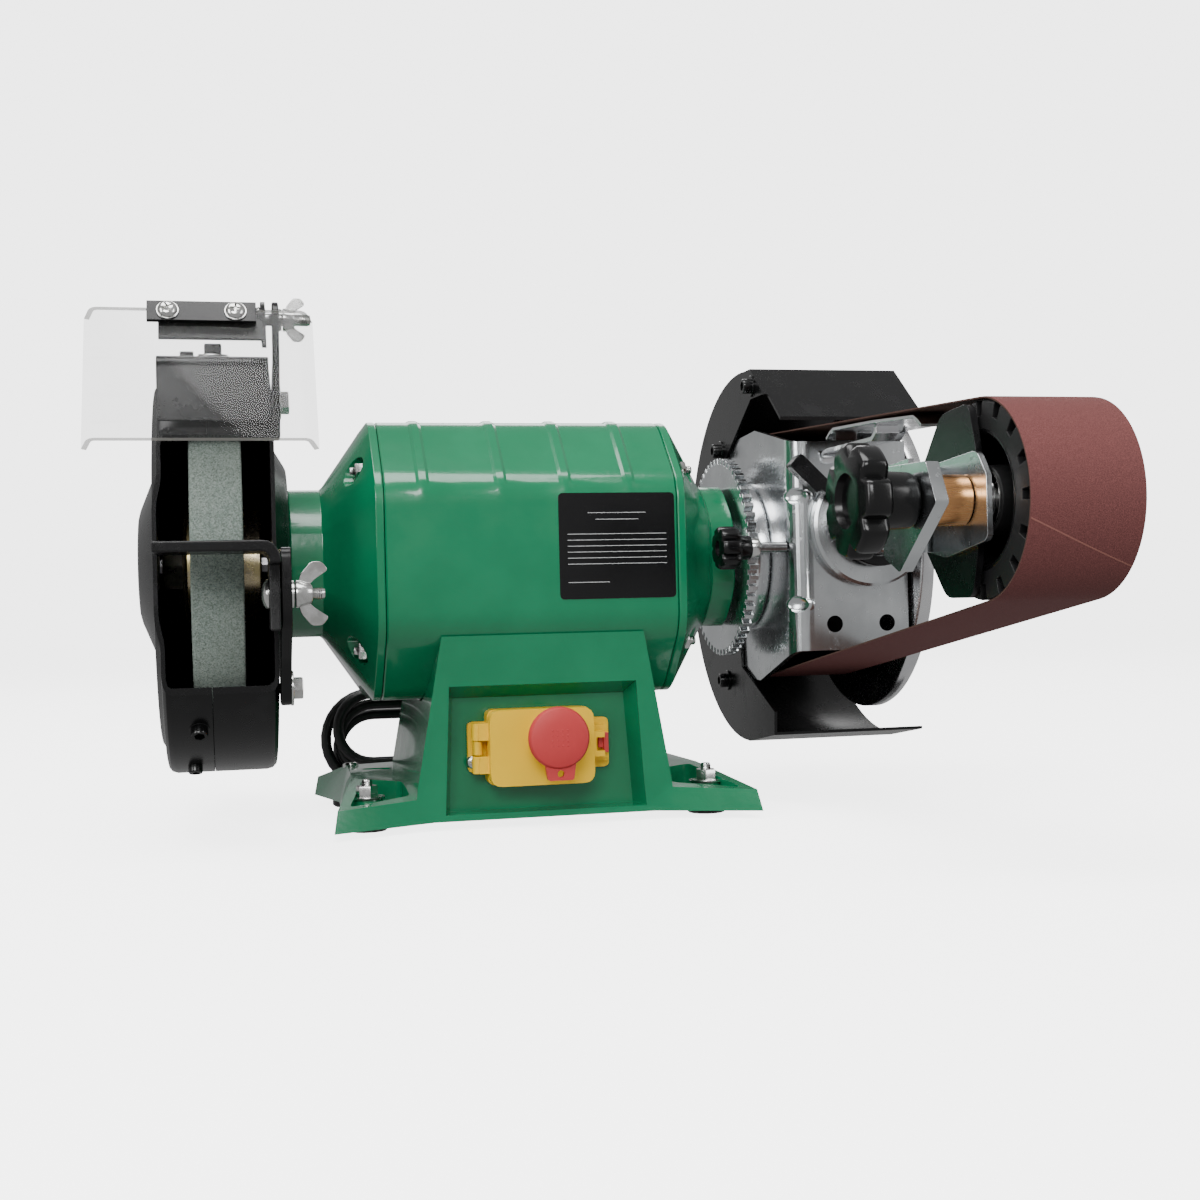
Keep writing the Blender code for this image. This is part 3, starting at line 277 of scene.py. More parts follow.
def draft(name, solid, finish):
    """A piece that is still being cut: a mesh about the spindle, with a finish and no body yet."""
    item = bpy.data.objects.new(name, mesh_of(name, solid))
    item.location = SPINDLE
    item.data.materials.append(finish)
    bpy.context.scene.collection.objects.link(item)
    bpy.context.view_layer.update()
    return item


def soften(item, edge, steps, angle):
    soft = item.modifiers.new("edge", "BEVEL")
    soft.width, soft.segments, soft.limit_method = edge * MM, steps, "ANGLE"
    soft.angle_limit = math.radians(angle)
    return soft


def complete(item, body, replaces=(), edge=0.0, angle=35, steps=2):
    """Soften the edges of a drafted piece, then hang it on its body."""
    if edge:
        soften(item, edge, steps, angle).harden_normals = True
    item.data.shade_smooth()
    item.data.set_sharp_from_angle(angle=math.radians(angle))
    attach(item, body)
    if replaces:
        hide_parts(*replaces)
    print(item.name, len(item.data.polygons), "faces")
    return item


def piece(name, solid, finish, body, replaces=(), edge=0.0, angle=35, steps=2):
    return complete(draft(name, solid, finish), body, replaces, edge, angle, steps)


print("millimetres are scaled by", MM)

# %% [markdown]
# ## Writing finishes as sums
#
# A finish is a few masks and waves added up. Written as nodes alone, a short sum takes a dozen lines, so a
# small class wraps a socket and turns `1 - mask * 0.3` into its Math nodes. Any other node comes from one
# method: the node's type, its settings, then its sockets.

# %% The socket class
class Wire:
    """An output socket of a material. Arithmetic on it adds Math nodes."""

    def __init__(self, tree, socket=None):
        self.tree, self.socket = tree, socket

    def node(self, kind, settings=(), sockets=(), out=0):
        made = self.tree.nodes.new("ShaderNode" + kind)
        for setting, value in dict(settings).items():
            if setting == "stops":
                while len(made.color_ramp.elements) < len(value):
                    made.color_ramp.elements.new(0.5)
                for element, (position, colour) in zip(made.color_ramp.elements, value):
                    element.position, element.color = position, (*colour, 1.0)
            else:
                setattr(made, setting, value)
        for name, value in dict(sockets).items():
            if isinstance(value, Wire):
                self.tree.links.new(value.socket, made.inputs[name])
            else:
                made.inputs[name].default_value = value
        return Wire(self.tree, made.outputs[out])

    def maths(self, operation, first, second):
        return self.node("Math", {"operation": operation}, {0: first, 1: second})

    def __add__(self, other):
        return self.maths("ADD", self, other)

    def __radd__(self, other):
        return self.maths("ADD", other, self)

    def __sub__(self, other):
        return self.maths("SUBTRACT", self, other)

    def __rsub__(self, other):
        return self.maths("SUBTRACT", other, self)

    def __mul__(self, other):
        return self.maths("MULTIPLY", self, other)

    def __rmul__(self, other):
        return self.maths("MULTIPLY", other, self)


print("Wire can", [name for name in vars(Wire) if name.startswith("__") and "add" in name])

# %% Waves, mixes and the material itself
FACTOR, COLOUR_A, COLOUR_B, COLOUR_OUT = 0, 6, 7, 2


class Finish(Wire):
    """A material being written: its place on the piece, its patterns and its shader."""

    def __init__(self, name, **fixed):
        self.material = bpy.data.materials.new(name)
        self.material.use_nodes = True
        super().__init__(self.material.node_tree)
        self.shader = self.tree.nodes["Principled BSDF"]
        for socket, value in fixed.items():
            self.shader.inputs[socket.replace("_", " ")].default_value = value
        self.place = self.node("TexCoord", out="Object")

    def noise(self, scale, detail=3.0, stretch=(1, 1, 1)):
        """Noise with `scale` waves to the metre, drawn out along the axes that `stretch` makes small."""
        place = self.place.node("VectorMath", {"operation": "MULTIPLY"}, {0: self.place, 1: stretch})
        return self.node("TexNoise", {}, {"Vector": place, "Scale": scale, "Detail": detail})

    def cells(self, size, out=0):
        """Cells of that size in millimetres."""
        return self.node("TexVoronoi", {"feature": "F1"}, {"Vector": self.place, "Scale": 1 / (size * MM)}, out)

    def between(self, value, low, high):
        """A mask that climbs from 0 to 1 as a value goes from low to high."""
        return self.node("MapRange", {"interpolation_type": "SMOOTHSTEP"},
                         {"Value": value, "From Min": low, "From Max": high})

    def blend(self, mask, first, second):
        first, second = (value if isinstance(value, Wire) else (*value, 1.0) for value in (first, second))
        return self.node("Mix", {"data_type": "RGBA"},
                         {FACTOR: mask, COLOUR_A: first, COLOUR_B: second}, COLOUR_OUT)

    def feed(self, **parts):
        for socket, value in parts.items():
            self.tree.links.new(value.socket, self.shader.inputs[socket.replace("_", " ")])
        return self

    def relief(self, height, depth, strength=1.0):
        """Bump of that depth in millimetres."""
        self.feed(Normal=self.node("Bump", {}, {"Height": height, "Strength": strength, "Distance": depth * MM}))
        return self.material


print("colours go through Mix, vectors through Vector Math")

# %% [markdown]
# ## Enamel and powder coat
#
# The castings are dipped or sprayed in thick gloss enamel. It pulls into a faint orange peel as it dries,
# runs a little darker where it is thick, and gathers dust in the matt spots. Sheet parts are powder coated:
# a finer, harder grain with a broader shine. Both could be a plain glossy colour, but then a large flat
# facet would mirror like glass, which painted castings never do.

# %% Painted finishes
def gloss_enamel():
    made = Finish("green_enamel", IOR=1.5, Coat_Roughness=0.05)
    peel = made.noise(420, 2.0)
    wave = made.noise(38, 3.0)
    pooled = made.between(wave, 0.35, 0.7)
    made.feed(Base_Color=made.blend(pooled, (0.001, 0.172, 0.070), (0.002, 0.188, 0.077)),
              Roughness=0.14 + made.noise(90, 4.0) * 0.14, Coat_Weight=0.35 + wave * 0.4)
    return made.relief(peel * 0.5 + wave * 0.5, 0.2, 0.6)


def powder_coat():
    made = Finish("black_powder_coat", Specular_IOR_Level=0.38)
    grain = made.noise(1500, 2.0)
    wear = made.between(made.noise(60, 5.0), 0.52, 0.75)
    made.feed(Base_Color=made.blend(wear, (0.0025, 0.0025, 0.0028), (0.006, 0.006, 0.0065)),
              Roughness=0.20 + grain * 0.10 + wear * 0.10)
    return made.relief(grain + made.noise(120, 2.0), 0.05, 0.45)


ENAMEL, POWDER = gloss_enamel(), powder_coat()
print(ENAMEL.name, POWDER.name)

# %% [markdown]
# ## Plated and bare metal
#
# Bright zinc is not a mirror. The bath leaves soft clouds in it, the rolling direction of the sheet shows as
# long faint streaks, and handling leaves small scuffs. One recipe with different colours, streak directions
# and roughness covers zinc, polished steel, yellow passivate, aluminium and bronze.

# %% Metal finishes
def metal(name, colour, shade, rough, streak=(1, 1, 1), scale=500, cloud=26):
    """A metal whose streaks run along the axis that `streak` makes small."""
    made = Finish(name, Metallic=1.0)
    lines = made.noise(scale, 3.0, streak)
    clouds = made.between(made.noise(cloud, 4.0), 0.36, 0.66)
    scuffs = made.between(made.noise(240, 6.0), 0.60, 0.72)
    made.feed(Base_Color=made.blend(clouds * 0.8 + scuffs * 0.2, colour, shade),
              Roughness=rough + lines * 0.12 + scuffs * 0.10 - clouds * 0.05)
    return made.relief(lines, 0.015, 0.5)


ZINC = metal("bright_zinc", (0.66, 0.68, 0.69), (0.50, 0.52, 0.53), 0.17, (1, 1, 0.06))
FASTENER = metal("plated_fastener", (0.70, 0.70, 0.69), (0.52, 0.52, 0.50), 0.16, cloud=160)
POLISHED = metal("polished_steel", (0.80, 0.80, 0.81), (0.66, 0.67, 0.69), 0.10, (1.0, 0.08, 0.08), 900)
STEEL = metal("plain_steel", (0.50, 0.50, 0.50), (0.34, 0.34, 0.35), 0.24, (0.05, 1, 1), 700)
ALUMINIUM = metal("cast_aluminium", (0.78, 0.78, 0.79), (0.60, 0.60, 0.62), 0.22, (1, 1, 1), 900)
PASSIVATE = metal("yellow_zinc", (0.72, 0.60, 0.30), (0.60, 0.52, 0.42), 0.24, (1, 1, 1), 600, 60)
BRONZE = metal("bronze", (0.78, 0.40, 0.17), (0.62, 0.29, 0.11), 0.22, (0.06, 1, 1), 900)
print(len(bpy.data.materials), "materials so far")

# %% [markdown]
# ## Plastic and rubber
#
# Moulded knobs have a fine spark-eroded texture, so they shine in a broad soft way. Rubber is rougher and
# a touch grey with bloom. The clear sheet is see-through with a slight haze and a grey body colour; it is
# made with Alpha, because a thin sheet barely bends light and Alpha survives any export.

# %% Plastics
def plastic(name, colour, rough, grain=900, depth=0.02, mottle=0.12):
    made = Finish(name, Specular_IOR_Level=0.45)
    pores, patches = made.noise(grain, 3.0), made.noise(45, 3.0)
    darker = tuple(part * (1 - mottle) for part in colour)
    made.feed(Base_Color=made.blend(patches, colour, darker), Roughness=rough + pores * 0.10 + patches * 0.06)
    return made.relief(pores, depth, 0.5)


def clear_sheet():
    made = Finish("clear_polycarbonate", IOR=1.5)
    haze = made.noise(30, 4.0)
    scratches = made.between(made.noise(300, 2.0, (0.05, 1, 1)), 0.66, 0.72)
    made.feed(Base_Color=made.blend(haze, (0.045, 0.046, 0.045), (0.06, 0.061, 0.06)),
              Roughness=0.05 + scratches * 0.12, Alpha=0.14 + haze * 0.04 + scratches * 0.04)
    return made.material


def sheet_edge():
    made = Finish("clear_edge", IOR=1.5)
    made.feed(Base_Color=made.blend(made.noise(80), (0.42, 0.41, 0.38), (0.60, 0.59, 0.55)),
              Roughness=0.12 + made.noise(200) * 0.1, Alpha=0.72 + made.noise(50) * 0.1)
    return made.material


KNOB = plastic("black_plastic", (0.003, 0.003, 0.0033), 0.14)
RUBBER = plastic("black_rubber", (0.009, 0.009, 0.0095), 0.42, 1400, 0.05, 0.3)
FLEX = plastic("black_flex", (0.006, 0.006, 0.0063), 0.30, 800, 0.02, 0.2)
YELLOW = plastic("yellow_plastic", (0.94, 0.58, 0.012), 0.28, 700, 0.03, 0.10)
RED = plastic("red_plastic", (0.54, 0.042, 0.044), 0.42, 1100, 0.04, 0.10)
GREEN_KEY = plastic("green_plastic", (0.02, 0.34, 0.09), 0.34)
LABEL = plastic("label_film", (0.004, 0.004, 0.0045), 0.13, 300, 0.01, 0.3)
LABEL_LINE = plastic("label_line", (0.55, 0.56, 0.56), 0.20, 300, 0.01)
WHITE_NUT = metal("pale_passivate", (0.80, 0.77, 0.66), (0.66, 0.63, 0.55), 0.28, cloud=120)
CLEAR, CLEAR_EDGE = clear_sheet(), sheet_edge()
print(len(bpy.data.materials), "materials so far")

# %% [markdown]
# ## Abrasives
#
# A vitrified wheel is packed grit: pale and dark grains with open pores, and a scrubbed band where it has
# been dressed. The belt is cloth with finer red-brown grit glued on the outside, and bare weave inside.
# The grain size matters more than the colour, so the wheel's and the disc's cells are set in millimetres.

# %% Grit and cloth
def bonded_grit():
    made = Finish("vitrified_grit", Specular_IOR_Level=0.3)
    grains = made.cells(0.55, out="Color")
    tone = made.node("SeparateColor", {}, {0: grains})
    pores = made.between(made.cells(0.8), 0.55, 0.8)
    patches = made.between(made.noise(30, 5.0), 0.40, 0.65)
    body = made.blend(tone, (0.130, 0.170, 0.148), (0.275, 0.325, 0.290))
    worn = made.blend(patches * 0.35, body, (0.25, 0.285, 0.25))
    made.feed(Base_Color=made.blend(pores * 0.6, worn, (0.09, 0.11, 0.095)), Roughness=0.82 + tone * 0.15)
    return made.relief(tone * 0.7 - pores, 0.22, 0.8)


def belt_grit():
    made = Finish("abrasive_cloth", Specular_IOR_Level=0.25)
    grains = made.noise(2600, 2.0)
    rows = made.noise(420, 3.0, (0.25, 1, 1))
    patches = made.noise(18, 4.0)
    body = made.blend(made.between(grains, 0.35, 0.65), (0.100, 0.030, 0.029), (0.190, 0.064, 0.060))
    made.feed(Base_Color=made.blend(patches * 0.45 + rows * 0.2, body, (0.135, 0.048, 0.045)),
              Roughness=0.72 + grains * 0.2)
    return made.relief(grains + rows * 0.5, 0.10, 0.7)


def belt_back():
    made = Finish("belt_cloth", Specular_IOR_Level=0.2)
    warp = made.node("TexWave", {"bands_direction": "X"},
                     {"Vector": made.place, "Scale": 420.0, "Distortion": 0.4}, 1)
    weft = made.noise(1500, 1.0, (1, 1, 0.2))
    made.feed(Base_Color=made.blend(warp * 0.6 + weft * 0.4, (0.060, 0.030, 0.024), (0.130, 0.070, 0.055)),
              Roughness=0.8 + warp * 0.1)
    return made.relief(warp + weft, 0.12, 0.6)


def disc_paper():
    made = Finish("disc_paper", Specular_IOR_Level=0.2)
    grains = made.cells(0.7)
    made.feed(Base_Color=made.blend(grains, (0.19, 0.075, 0.045), (0.09, 0.035, 0.024)),
              Roughness=0.8 + grains * 0.15)
    return made.relief(grains, 0.15, 0.7)


def belt_splice():
    made = Finish("belt_splice", Specular_IOR_Level=0.3)
    grains = made.noise(2600, 2.0)
    made.feed(Base_Color=made.blend(grains, (0.20, 0.075, 0.062), (0.30, 0.125, 0.10)),
              Roughness=0.62 + grains * 0.2)
    return made.material


WHEEL_GRIT, BELT_GRIT, BELT_BACK, DISC_PAPER = bonded_grit(), belt_grit(), belt_back(), disc_paper()
BELT_SPLICE = belt_splice()
print(len(bpy.data.materials), "materials in all")

# %% [markdown]
# ## Frame nodes that stay
#
# Pieces whose shape is already right keep their frame node. It gets the finish above through its material
# slots, and a small bevel so that its edges catch the light.

# %% Dressing a frame node
def dress(finish, *names, edge=0.25):
    for name in names:
        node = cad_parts[name]
        for holder in node.material_slots:
            holder.material = finish
        if edge:
            soften(node, edge, 2, 40)
    print("dressed", ", ".join(names))


dress(STEEL, "stator_core", "rotor_core", "left_bearing", "right_bearing", "spindle_shaft", edge=0)
dress(BRONZE, "stator_winding", edge=0)
dress(KNOB, "capacitor", edge=0)
dress(ZINC, "base_plate", edge=0)
dress(ALUMINIUM, "drive_hub", edge=0.4)
dress(RUBBER, "drive_tyre", *[f"rubber_foot_{row}_{side}" for row in ("front", "back") for side in ("left", "right")])

# %% [markdown]
# ## Fasteners
#
# Screws, nuts and washers tell the eye how big a machine is. Each kind is drawn once, standing up its own
# axis, and then aimed at its hole. A thread is a stack of shallow rings: at this size nobody can follow the
# helix, and rings stay closed and light.

# %% Screws, nuts and washers
def thread(radius, low, high, pitch=1.0):
    profile = [(low, 0)]
    for step in range(int((high - low) / pitch)):
        profile += [(low + step * pitch, radius), (low + (step + 0.5) * pitch, radius * 0.88)]
    return turn(profile + [(high - 0.2, radius * 0.8), (high, radius * 0.7), (high, 0)], 20, "Z")


def washer(radius, bore, thick=1.2):
    profile = [(0, bore), (0, radius), (thick * 0.8, radius), (thick, radius - thick * 0.2), (thick, bore)]
    return turn(profile, 36, "Z")


def hex_head(flats, tall, low=0.0):
    """A hexagon whose corners are turned off at the top."""
    return skin([[(x * size, y * size, at) for x, y in hexagon(flats)]
                 for at, size in ((low, 1), (low + tall * 0.86, 1), (low + tall, 0.93))])


def nut_on_stud(flats, tall, radius, reach):
    """Washer, hexagon nut and the stud's end."""
    return merged(washer(flats * 0.92, radius, 1.2), hex_head(flats, tall, 1.2), thread(radius, 0.4, reach))


def hex_bolt(flats, tall):
    return merged(washer(flats * 0.86, flats * 0.3), hex_head(flats, tall, 1.2))


def socket_screw(radius, tall):
    """A cap screw: knurled cylinder with a hexagon socket."""
    steps, sixth = 36, math.pi / 3
    angles = [2 * math.pi * step / steps for step in range(steps)]
    rows = []
    for at, size, knurl in ((0, 0.97, 0), (0.4, 1.0, 1), (tall * 0.82, 1.0, 1), (tall * 0.88, 0.97, 0),
                            (tall, 0.90, 0)):
        reaches = [radius * (size - 0.035 * knurl * (step % 2)) for step in range(steps)]
        rows.append([(reach * math.cos(a), reach * math.sin(a), at) for reach, a in zip(reaches, angles)])
    for at, size in ((tall, 0.56), (tall * 0.45, 0.56), (tall * 0.45, 0.05)):
        reaches = [radius * size / math.cos((a + sixth / 2) % sixth - sixth / 2) for a in angles]
        rows.append([(reach * math.cos(a), reach * math.sin(a), at) for reach, a in zip(reaches, angles)])
    return skin(rows)


def dome(radius, tall):
    """The head of a pan or carriage screw."""
    curve = [(tall * math.sin(a), radius * math.cos(a) ** 0.7) for a in map(math.radians, range(10, 86, 15))]
    return turn([(0, 0), (0, radius)] + curve + [(tall, 0)], 40, "Z")


def fasten(name, solid, at, aim, body, finish=FASTENER, spin=0.2, slots=()):
    """Aim a fastener at its place. `slots` are cutters for its drive, drawn up the same axis."""
    item = draft(name, aimed(solid, at, aim, spin), finish)
    carve(item, "DIFFERENCE", *[aimed(slot, at, aim, spin) for slot in slots])
    return complete(item, body, angle=32)


def cross(tall, reach=2.3, wide=0.75):
    return [block((-reach, -wide / 2, tall * 0.45), (reach, wide / 2, tall * 2)),
            block((-wide / 2, -reach, tall * 0.45), (wide / 2, reach, tall * 2))]


print("fasteners are drawn once and aimed")

# %% [markdown]
# ## Base casting
#
# One iron casting makes the four wings, the deck between them and the hollow pedestal. Its walls lean in so
# that it leaves the mould, and the enamel rounds every edge. It is built as a solid and then cut, the same
# order a pattern maker works in: flange, pedestal, core, switch recess, motor seat, pockets, slots.

# %% Motor body outline
HALF, RIDGE = 73.8, 38.0


def octagon(x, grow=0.0, corner=11.0, steps=6, band=0.0):
    """The motor body's outline. A band grows only on its upper facets."""
    half = HALF + grow
    corners = [(half, RIDGE), (RIDGE, half), (-RIDGE, half), (-half, RIDGE),
               (-half, -RIDGE), (-RIDGE, -half), (RIDGE, -half), (half, -RIDGE)]
    points = []
    for y, z in rounded(corners, corner, steps):
        rise = band * min(1.0, max(0.0, (z - 30.0) / 12.0))
        points.append((x, y * (1 + rise / HALF), z * (1 + rise / HALF)))
    return points


def circle_like(x, radius, like):
    """A circle whose points line up with an outline's."""
    return [(x, radius * y / math.hypot(y, z), radius * z / math.hypot(y, z)) for _, y, z in like]


print("the motor body is", 2 * HALF, "mm across its flats")

# %% Base casting
CAST_LOW, DECK, WING_TIP, POCKET = -135.0, -115.0, -124.0, -127.0
rim = [(110.5, -90), (101, -18), (99, 42), (110.5, 86), (56, 66)]
crown = [(108.5, -86.5, WING_TIP), (96, -18, DECK), (93.5, 52, DECK), (108.5, 82.5, WING_TIP), (55, 63, DECK)]
rim += [(-x, y) for x, y in reversed(rim)] + [(-52, -64), (52, -64)]
crown += [(-x, y, z) for x, y, z in reversed(crown)] + [(-52, -63.5, -122), (52, -63.5, -122)]
flange = skin([[(x, y, CAST_LOW) for x, y in rim], crown])
bmesh.ops.triangulate(flange, faces=[face for face in flange.faces if len(face.verts) > 4])
casting = draft("cast_base", flange, ENAMEL)


def storey(half_wide, front, back, z):
    return [(-half_wide, front, z), (half_wide, front, z), (half_wide, back, z), (-half_wide, back, z)]


carve(casting, "UNION", skin([storey(69, -70.5, 61, -134.5), storey(67, -69.5, 60, -118),
                              storey(53, -71.5, 55, -38.5), storey(52.5, -68, 50, -33)]))
carve(casting, "DIFFERENCE",
      skin([storey(61, -45, 53, -136), storey(61, -45, 53, -118), storey(47, -45, 48, -50), storey(47, -45, 46, -30)]),
      skin([[(-46.5, -56, -72.5), (45, -56, -72.5), (49, -56, -131), (-49, -56, -131)],
            [(-49.8, -69, -66.2), (48.4, -69, -66.2), (52.8, -69, -131.2), (-52.8, -69, -131.2)],
            [(-51, -90, -60), (50, -90, -60), (55, -90, -132), (-55, -90, -132)]]),
      skin([octagon(x, 1.1, steps=4) for x in (-95, 95)]),
      block((-66, -50, -136), (66, 58, -133.2)), bar("Y", 40, 80, 8.3, (40, -96)))
for side in (-1, 1):
    pocket = [(side * 90.5, -21.5), (side * 70, -21.5), (side * 70, -60), (side * 102, -79.5)]
    slot = arc((side * 79 - 4.5, 24), 3.5, 90, 270, 10) + arc((side * 79 + 4.5, 24), 3.5, -90, 90, 10)
    carve(casting, "DIFFERENCE", extrude(rounded(pocket, 4), POCKET, DECK + 20, "Z"), extrude(slot, -140, -110, "Z"))
FOOT_X, FOOT_FRONT, FOOT_BACK, PAD = 91.0, -52.0, 56.0, -122.5
for side in (-1, 1):
    carve(casting, "UNION", turn([(POCKET - 1, 0), (POCKET - 1, 8.6), (PAD, 7.8), (PAD, 0)], 32, "Z",
                                 (side * FOOT_X, FOOT_FRONT)))
complete(casting, "machine", ["base_casting"], edge=1.5, steps=3, angle=28)

# %% Foot nuts
for side, word in ((-1, "left"), (1, "right")):
    fasten(f"foot_nut_front_{word}", nut_on_stud(10, 5.5, 3.0, 10), (side * FOOT_X, FOOT_FRONT, PAD), (0, 0, 1),
           "machine", spin=0.3 * side)
    fasten(f"foot_screw_back_{word}", socket_screw(4.6, 2.6), (side * FOOT_X, FOOT_BACK, -117.2), (0, 0.29, 1),
           "machine", spin=0.7)

# %% [markdown]
# ## Motor housing and end bells
#
# The barrel is an octagon with soft corners. Four low bands run over its top and fade out on the front and
# back facets. Each end bell starts as the same octagon and tapers to a round neck, and four
# pockets on its diagonals hold the through bolts. Skinning sections gives the taper its facets directly.

# %% Housing
BANDS = (-61.0, -21.0, 13.0, 47.0)
BODY_LEFT, BODY_RIGHT = -81.0, 72.5
stations = [(BODY_LEFT + 0.3, -0.7, 0), (BODY_LEFT + 1.0, 0, 0)]
for middle in BANDS:
    stations += [(middle - 3.4, 0, 0), (middle - 1.8, 0, 0.9), (middle + 1.8, 0, 0.9), (middle + 3.4, 0, 0)]
stations += [(BODY_RIGHT - 1.0, 0, 0), (BODY_RIGHT - 0.3, -0.7, 0)]
barrel = [octagon(x, grow, band=band) for x, grow, band in stations]
piece("housing_barrel", skin(barrel + [circle_like(BODY_RIGHT - 0.3, 66.5, barrel[0]),
                                       circle_like(BODY_LEFT + 0.3, 66.5, barrel[0])], True),
      ENAMEL, "machine", ["motor_housing"], angle=24)

# %% End bells
NECK = 41.8
for name, side, face, cone_end, neck_end in (("left_end_bell", -1, BODY_LEFT, -109, -126.7),
                                             ("right_end_bell", 1, BODY_RIGHT, 101, 115)):
    like = octagon(0)
    seat = neck_end - side * 4.2
    rows = [octagon(face, -0.6), octagon(face + side * 0.6, 0), octagon(face + side * 4.2, 0),
            octagon(face + side * 5.0, -1.4)]
    for share in (0.2, 0.4, 0.6, 0.8, 0.94):
        x = face + side * 5 + (cone_end - face - side * 5) * share
        rows.append([tuple(Vector(a).lerp(Vector(b), share)) for a, b in
                     zip(octagon(x, -1.4), circle_like(x, NECK, like))])
    rows += [circle_like(cone_end + side * 0.8, NECK, like), circle_like(neck_end - side * 0.8, NECK, like),
             circle_like(neck_end, NECK - 0.8, like), circle_like(neck_end, 12, like), circle_like(seat, 12, like),
             circle_like(seat, 20.5, like), circle_like(seat - side * 12.3, 20.5, like),
             circle_like(seat - side * 12.3, 30, like), circle_like(face, 64, like)]
    bell = draft("cast_" + name, skin(rows, True), ENAMEL)
    for turned in (45, 135, 225, 315):
        y, z = 65.5 * math.cos(math.radians(turned)), 65.5 * math.sin(math.radians(turned))
        carve(bell, "DIFFERENCE", bar("X", *sorted((face + side * 6.5, face + side * 34)), 7.4, (y, z), 28))
        fasten(f"through_bolt_{name[:-9]}_{turned}", nut_on_stud(8.5, 4.6, 2.5, 9.5 if side > 0 else 8.2),
               (face + side * 6.5, y, z), (side, 0, 0), "machine", spin=turned)
    complete(bell, "machine", [name], edge=0.7, steps=2, angle=28)

# %% Rating plate
# A film label with a blank table: its layout is kept, its words are not.
PLATE_FACE = -HALF - 0.15
film = rounded([(8.5, -22.5), (70.6, -22.5), (70.6, 32.5), (8.5, 32.5)], 2.6)
piece("rating_plate", extrude(film, PLATE_FACE - 0.12, PLATE_FACE + 0.3, "Y"), LABEL, "machine")
layout = [(13.0, 53.0, 11.0 - 3.1 * row) for row in range(6)] + [(24, 31, 22), (28, 23, 18.6), (13, 22, -14)]
rules = [block((left, PLATE_FACE - 0.2, z), (left + wide, PLATE_FACE - 0.1, z + 0.3)) for left, wide, z in layout]
piece("rating_plate_rules", merged(*rules), LABEL_LINE, "machine")

# %% [markdown]
# ## Switch
#
# A magnetic switch sits in a recess of the pedestal: a yellow case with a hinged lid, a latch tab, and a
# large mushroom button on the lid that stops the motor. Under the lid is the green start key. The lid has
# its own body, so its barrels and the case's lug are separate knuckles on one pin.

# %% Switch case and start key
STOP_X, STOP_Z, PIN_X, PIN_Y = 3.0, -92.5, -35.0, -65.5
CASE_LEFT, CASE_RIGHT, CASE_LOW, CASE_HIGH = -30.0, 24.5, -117.5, -78.5
case_outline = [(CASE_LEFT, CASE_LOW), (CASE_RIGHT, CASE_LOW), (CASE_RIGHT, CASE_HIGH), (CASE_LEFT, CASE_HIGH)]
lugs = rounded([(-39.5, -111), (35.5, -111), (35.5, -84.8), (-39.5, -84.8)], 3)
case = draft("switch_case", extrude(rounded(case_outline, 4), -66, -56.3, "Y"), YELLOW)
carve(case, "UNION", extrude(lugs, -60, -56.8, "Y"),
      bar("Z", -101.5, -94.5, 2.2, (PIN_X, PIN_Y)), block((-37.2, PIN_Y, -101.5), (-32.8, -58, -94.5)),
      extrude(rounded([(26.5, -107.5), (34.6, -107.5), (34.6, -88.5), (26.5, -88.5)], 1.5), -63.2, -59, "Y"))
carve(case, "DIFFERENCE", bar("Y", -70, -59, 10, (STOP_X, STOP_Z)), block((-24.5, -70, -107), (-9.5, -59, -89)))
complete(case, "machine", ["switch_box"], edge=0.7, steps=3)
piece("start_key", block((-24, -70, -106.5), (-10, -62, -89.5)), GREEN_KEY, "start", ["start_button"],
      edge=1.2, steps=3)
catch = merged(block((31.2, -67.6, -103), (33.8, -59.5, -92.5)), block((28.6, -66.4, -100.5), (31.8, -64.2, -95)))
piece("latch_catch", catch, RED, "machine", edge=0.4)
fasten("lug_screw", dome(3.6, 2.0), (-37.0, -60.0, -105.6), (0, -1, 0), "machine", slots=cross(2.0, 2.2))

# %% Switch lid and stop button
lid = draft("lid_shell", extrude(rounded(case_outline, 6), -75, -66.3, "Y"), YELLOW)
carve(lid, "UNION", bar("Y", -77.5, -70, 12.5, (STOP_X, STOP_Z), 48))
for low in (-111.0, -94.0):
    carve(lid, "UNION", bar("Z", low, low + 8.8, 3.0, (PIN_X, PIN_Y)),
          block((PIN_X, -69.6, low), (-28, -66.6, low + 8.8)))
carve(lid, "UNION", block((23.0, -72.5, -104.5), (30.6, -67.0, -91.5)))
carve(lid, "DIFFERENCE", block((CASE_LEFT + 2, -73, CASE_LOW + 2), (CASE_RIGHT - 2, -65, CASE_HIGH - 2)),
      bar("Y", -80, -60, 8.5, (STOP_X, STOP_Z), 48), block((26.2, -75, -101.5), (32, -66, -94.5)))
complete(lid, "lid", ["switch_lid"], edge=1.1, steps=4)
cap = [(-70, 0), (-70, 8), (-85, 8), (-86.2, 15.0), (-87, 15.7), (-88.2, 15.9), (-89.6, 15.7), (-90.9, 14.7),
       (-91.7, 12.0), (-92.1, 7.0), (-92.2, 0)]
button = draft("stop_mushroom", turn(cap, 72, "Y", (STOP_X, STOP_Z)), RED)
tongue = [(STOP_X + x, STOP_Z + z) for x, z in ((-6.2, -21.6), (7.2, -21.6), (8.6, -12), (-7.6, -12))]
carve(button, "UNION", extrude(rounded(tongue, 1.5), -89.4, -86.4, "Y"))
carve(button, "DIFFERENCE", bar("Y", -92, -84, 1.8, (STOP_X + 0.5, STOP_Z - 18.2), 20))
complete(button, "stop", ["stop_button"], edge=0.35, angle=30)
DOT_PITCH, grid = 2.6, (-1.5, -0.5, 0.5, 1.5)
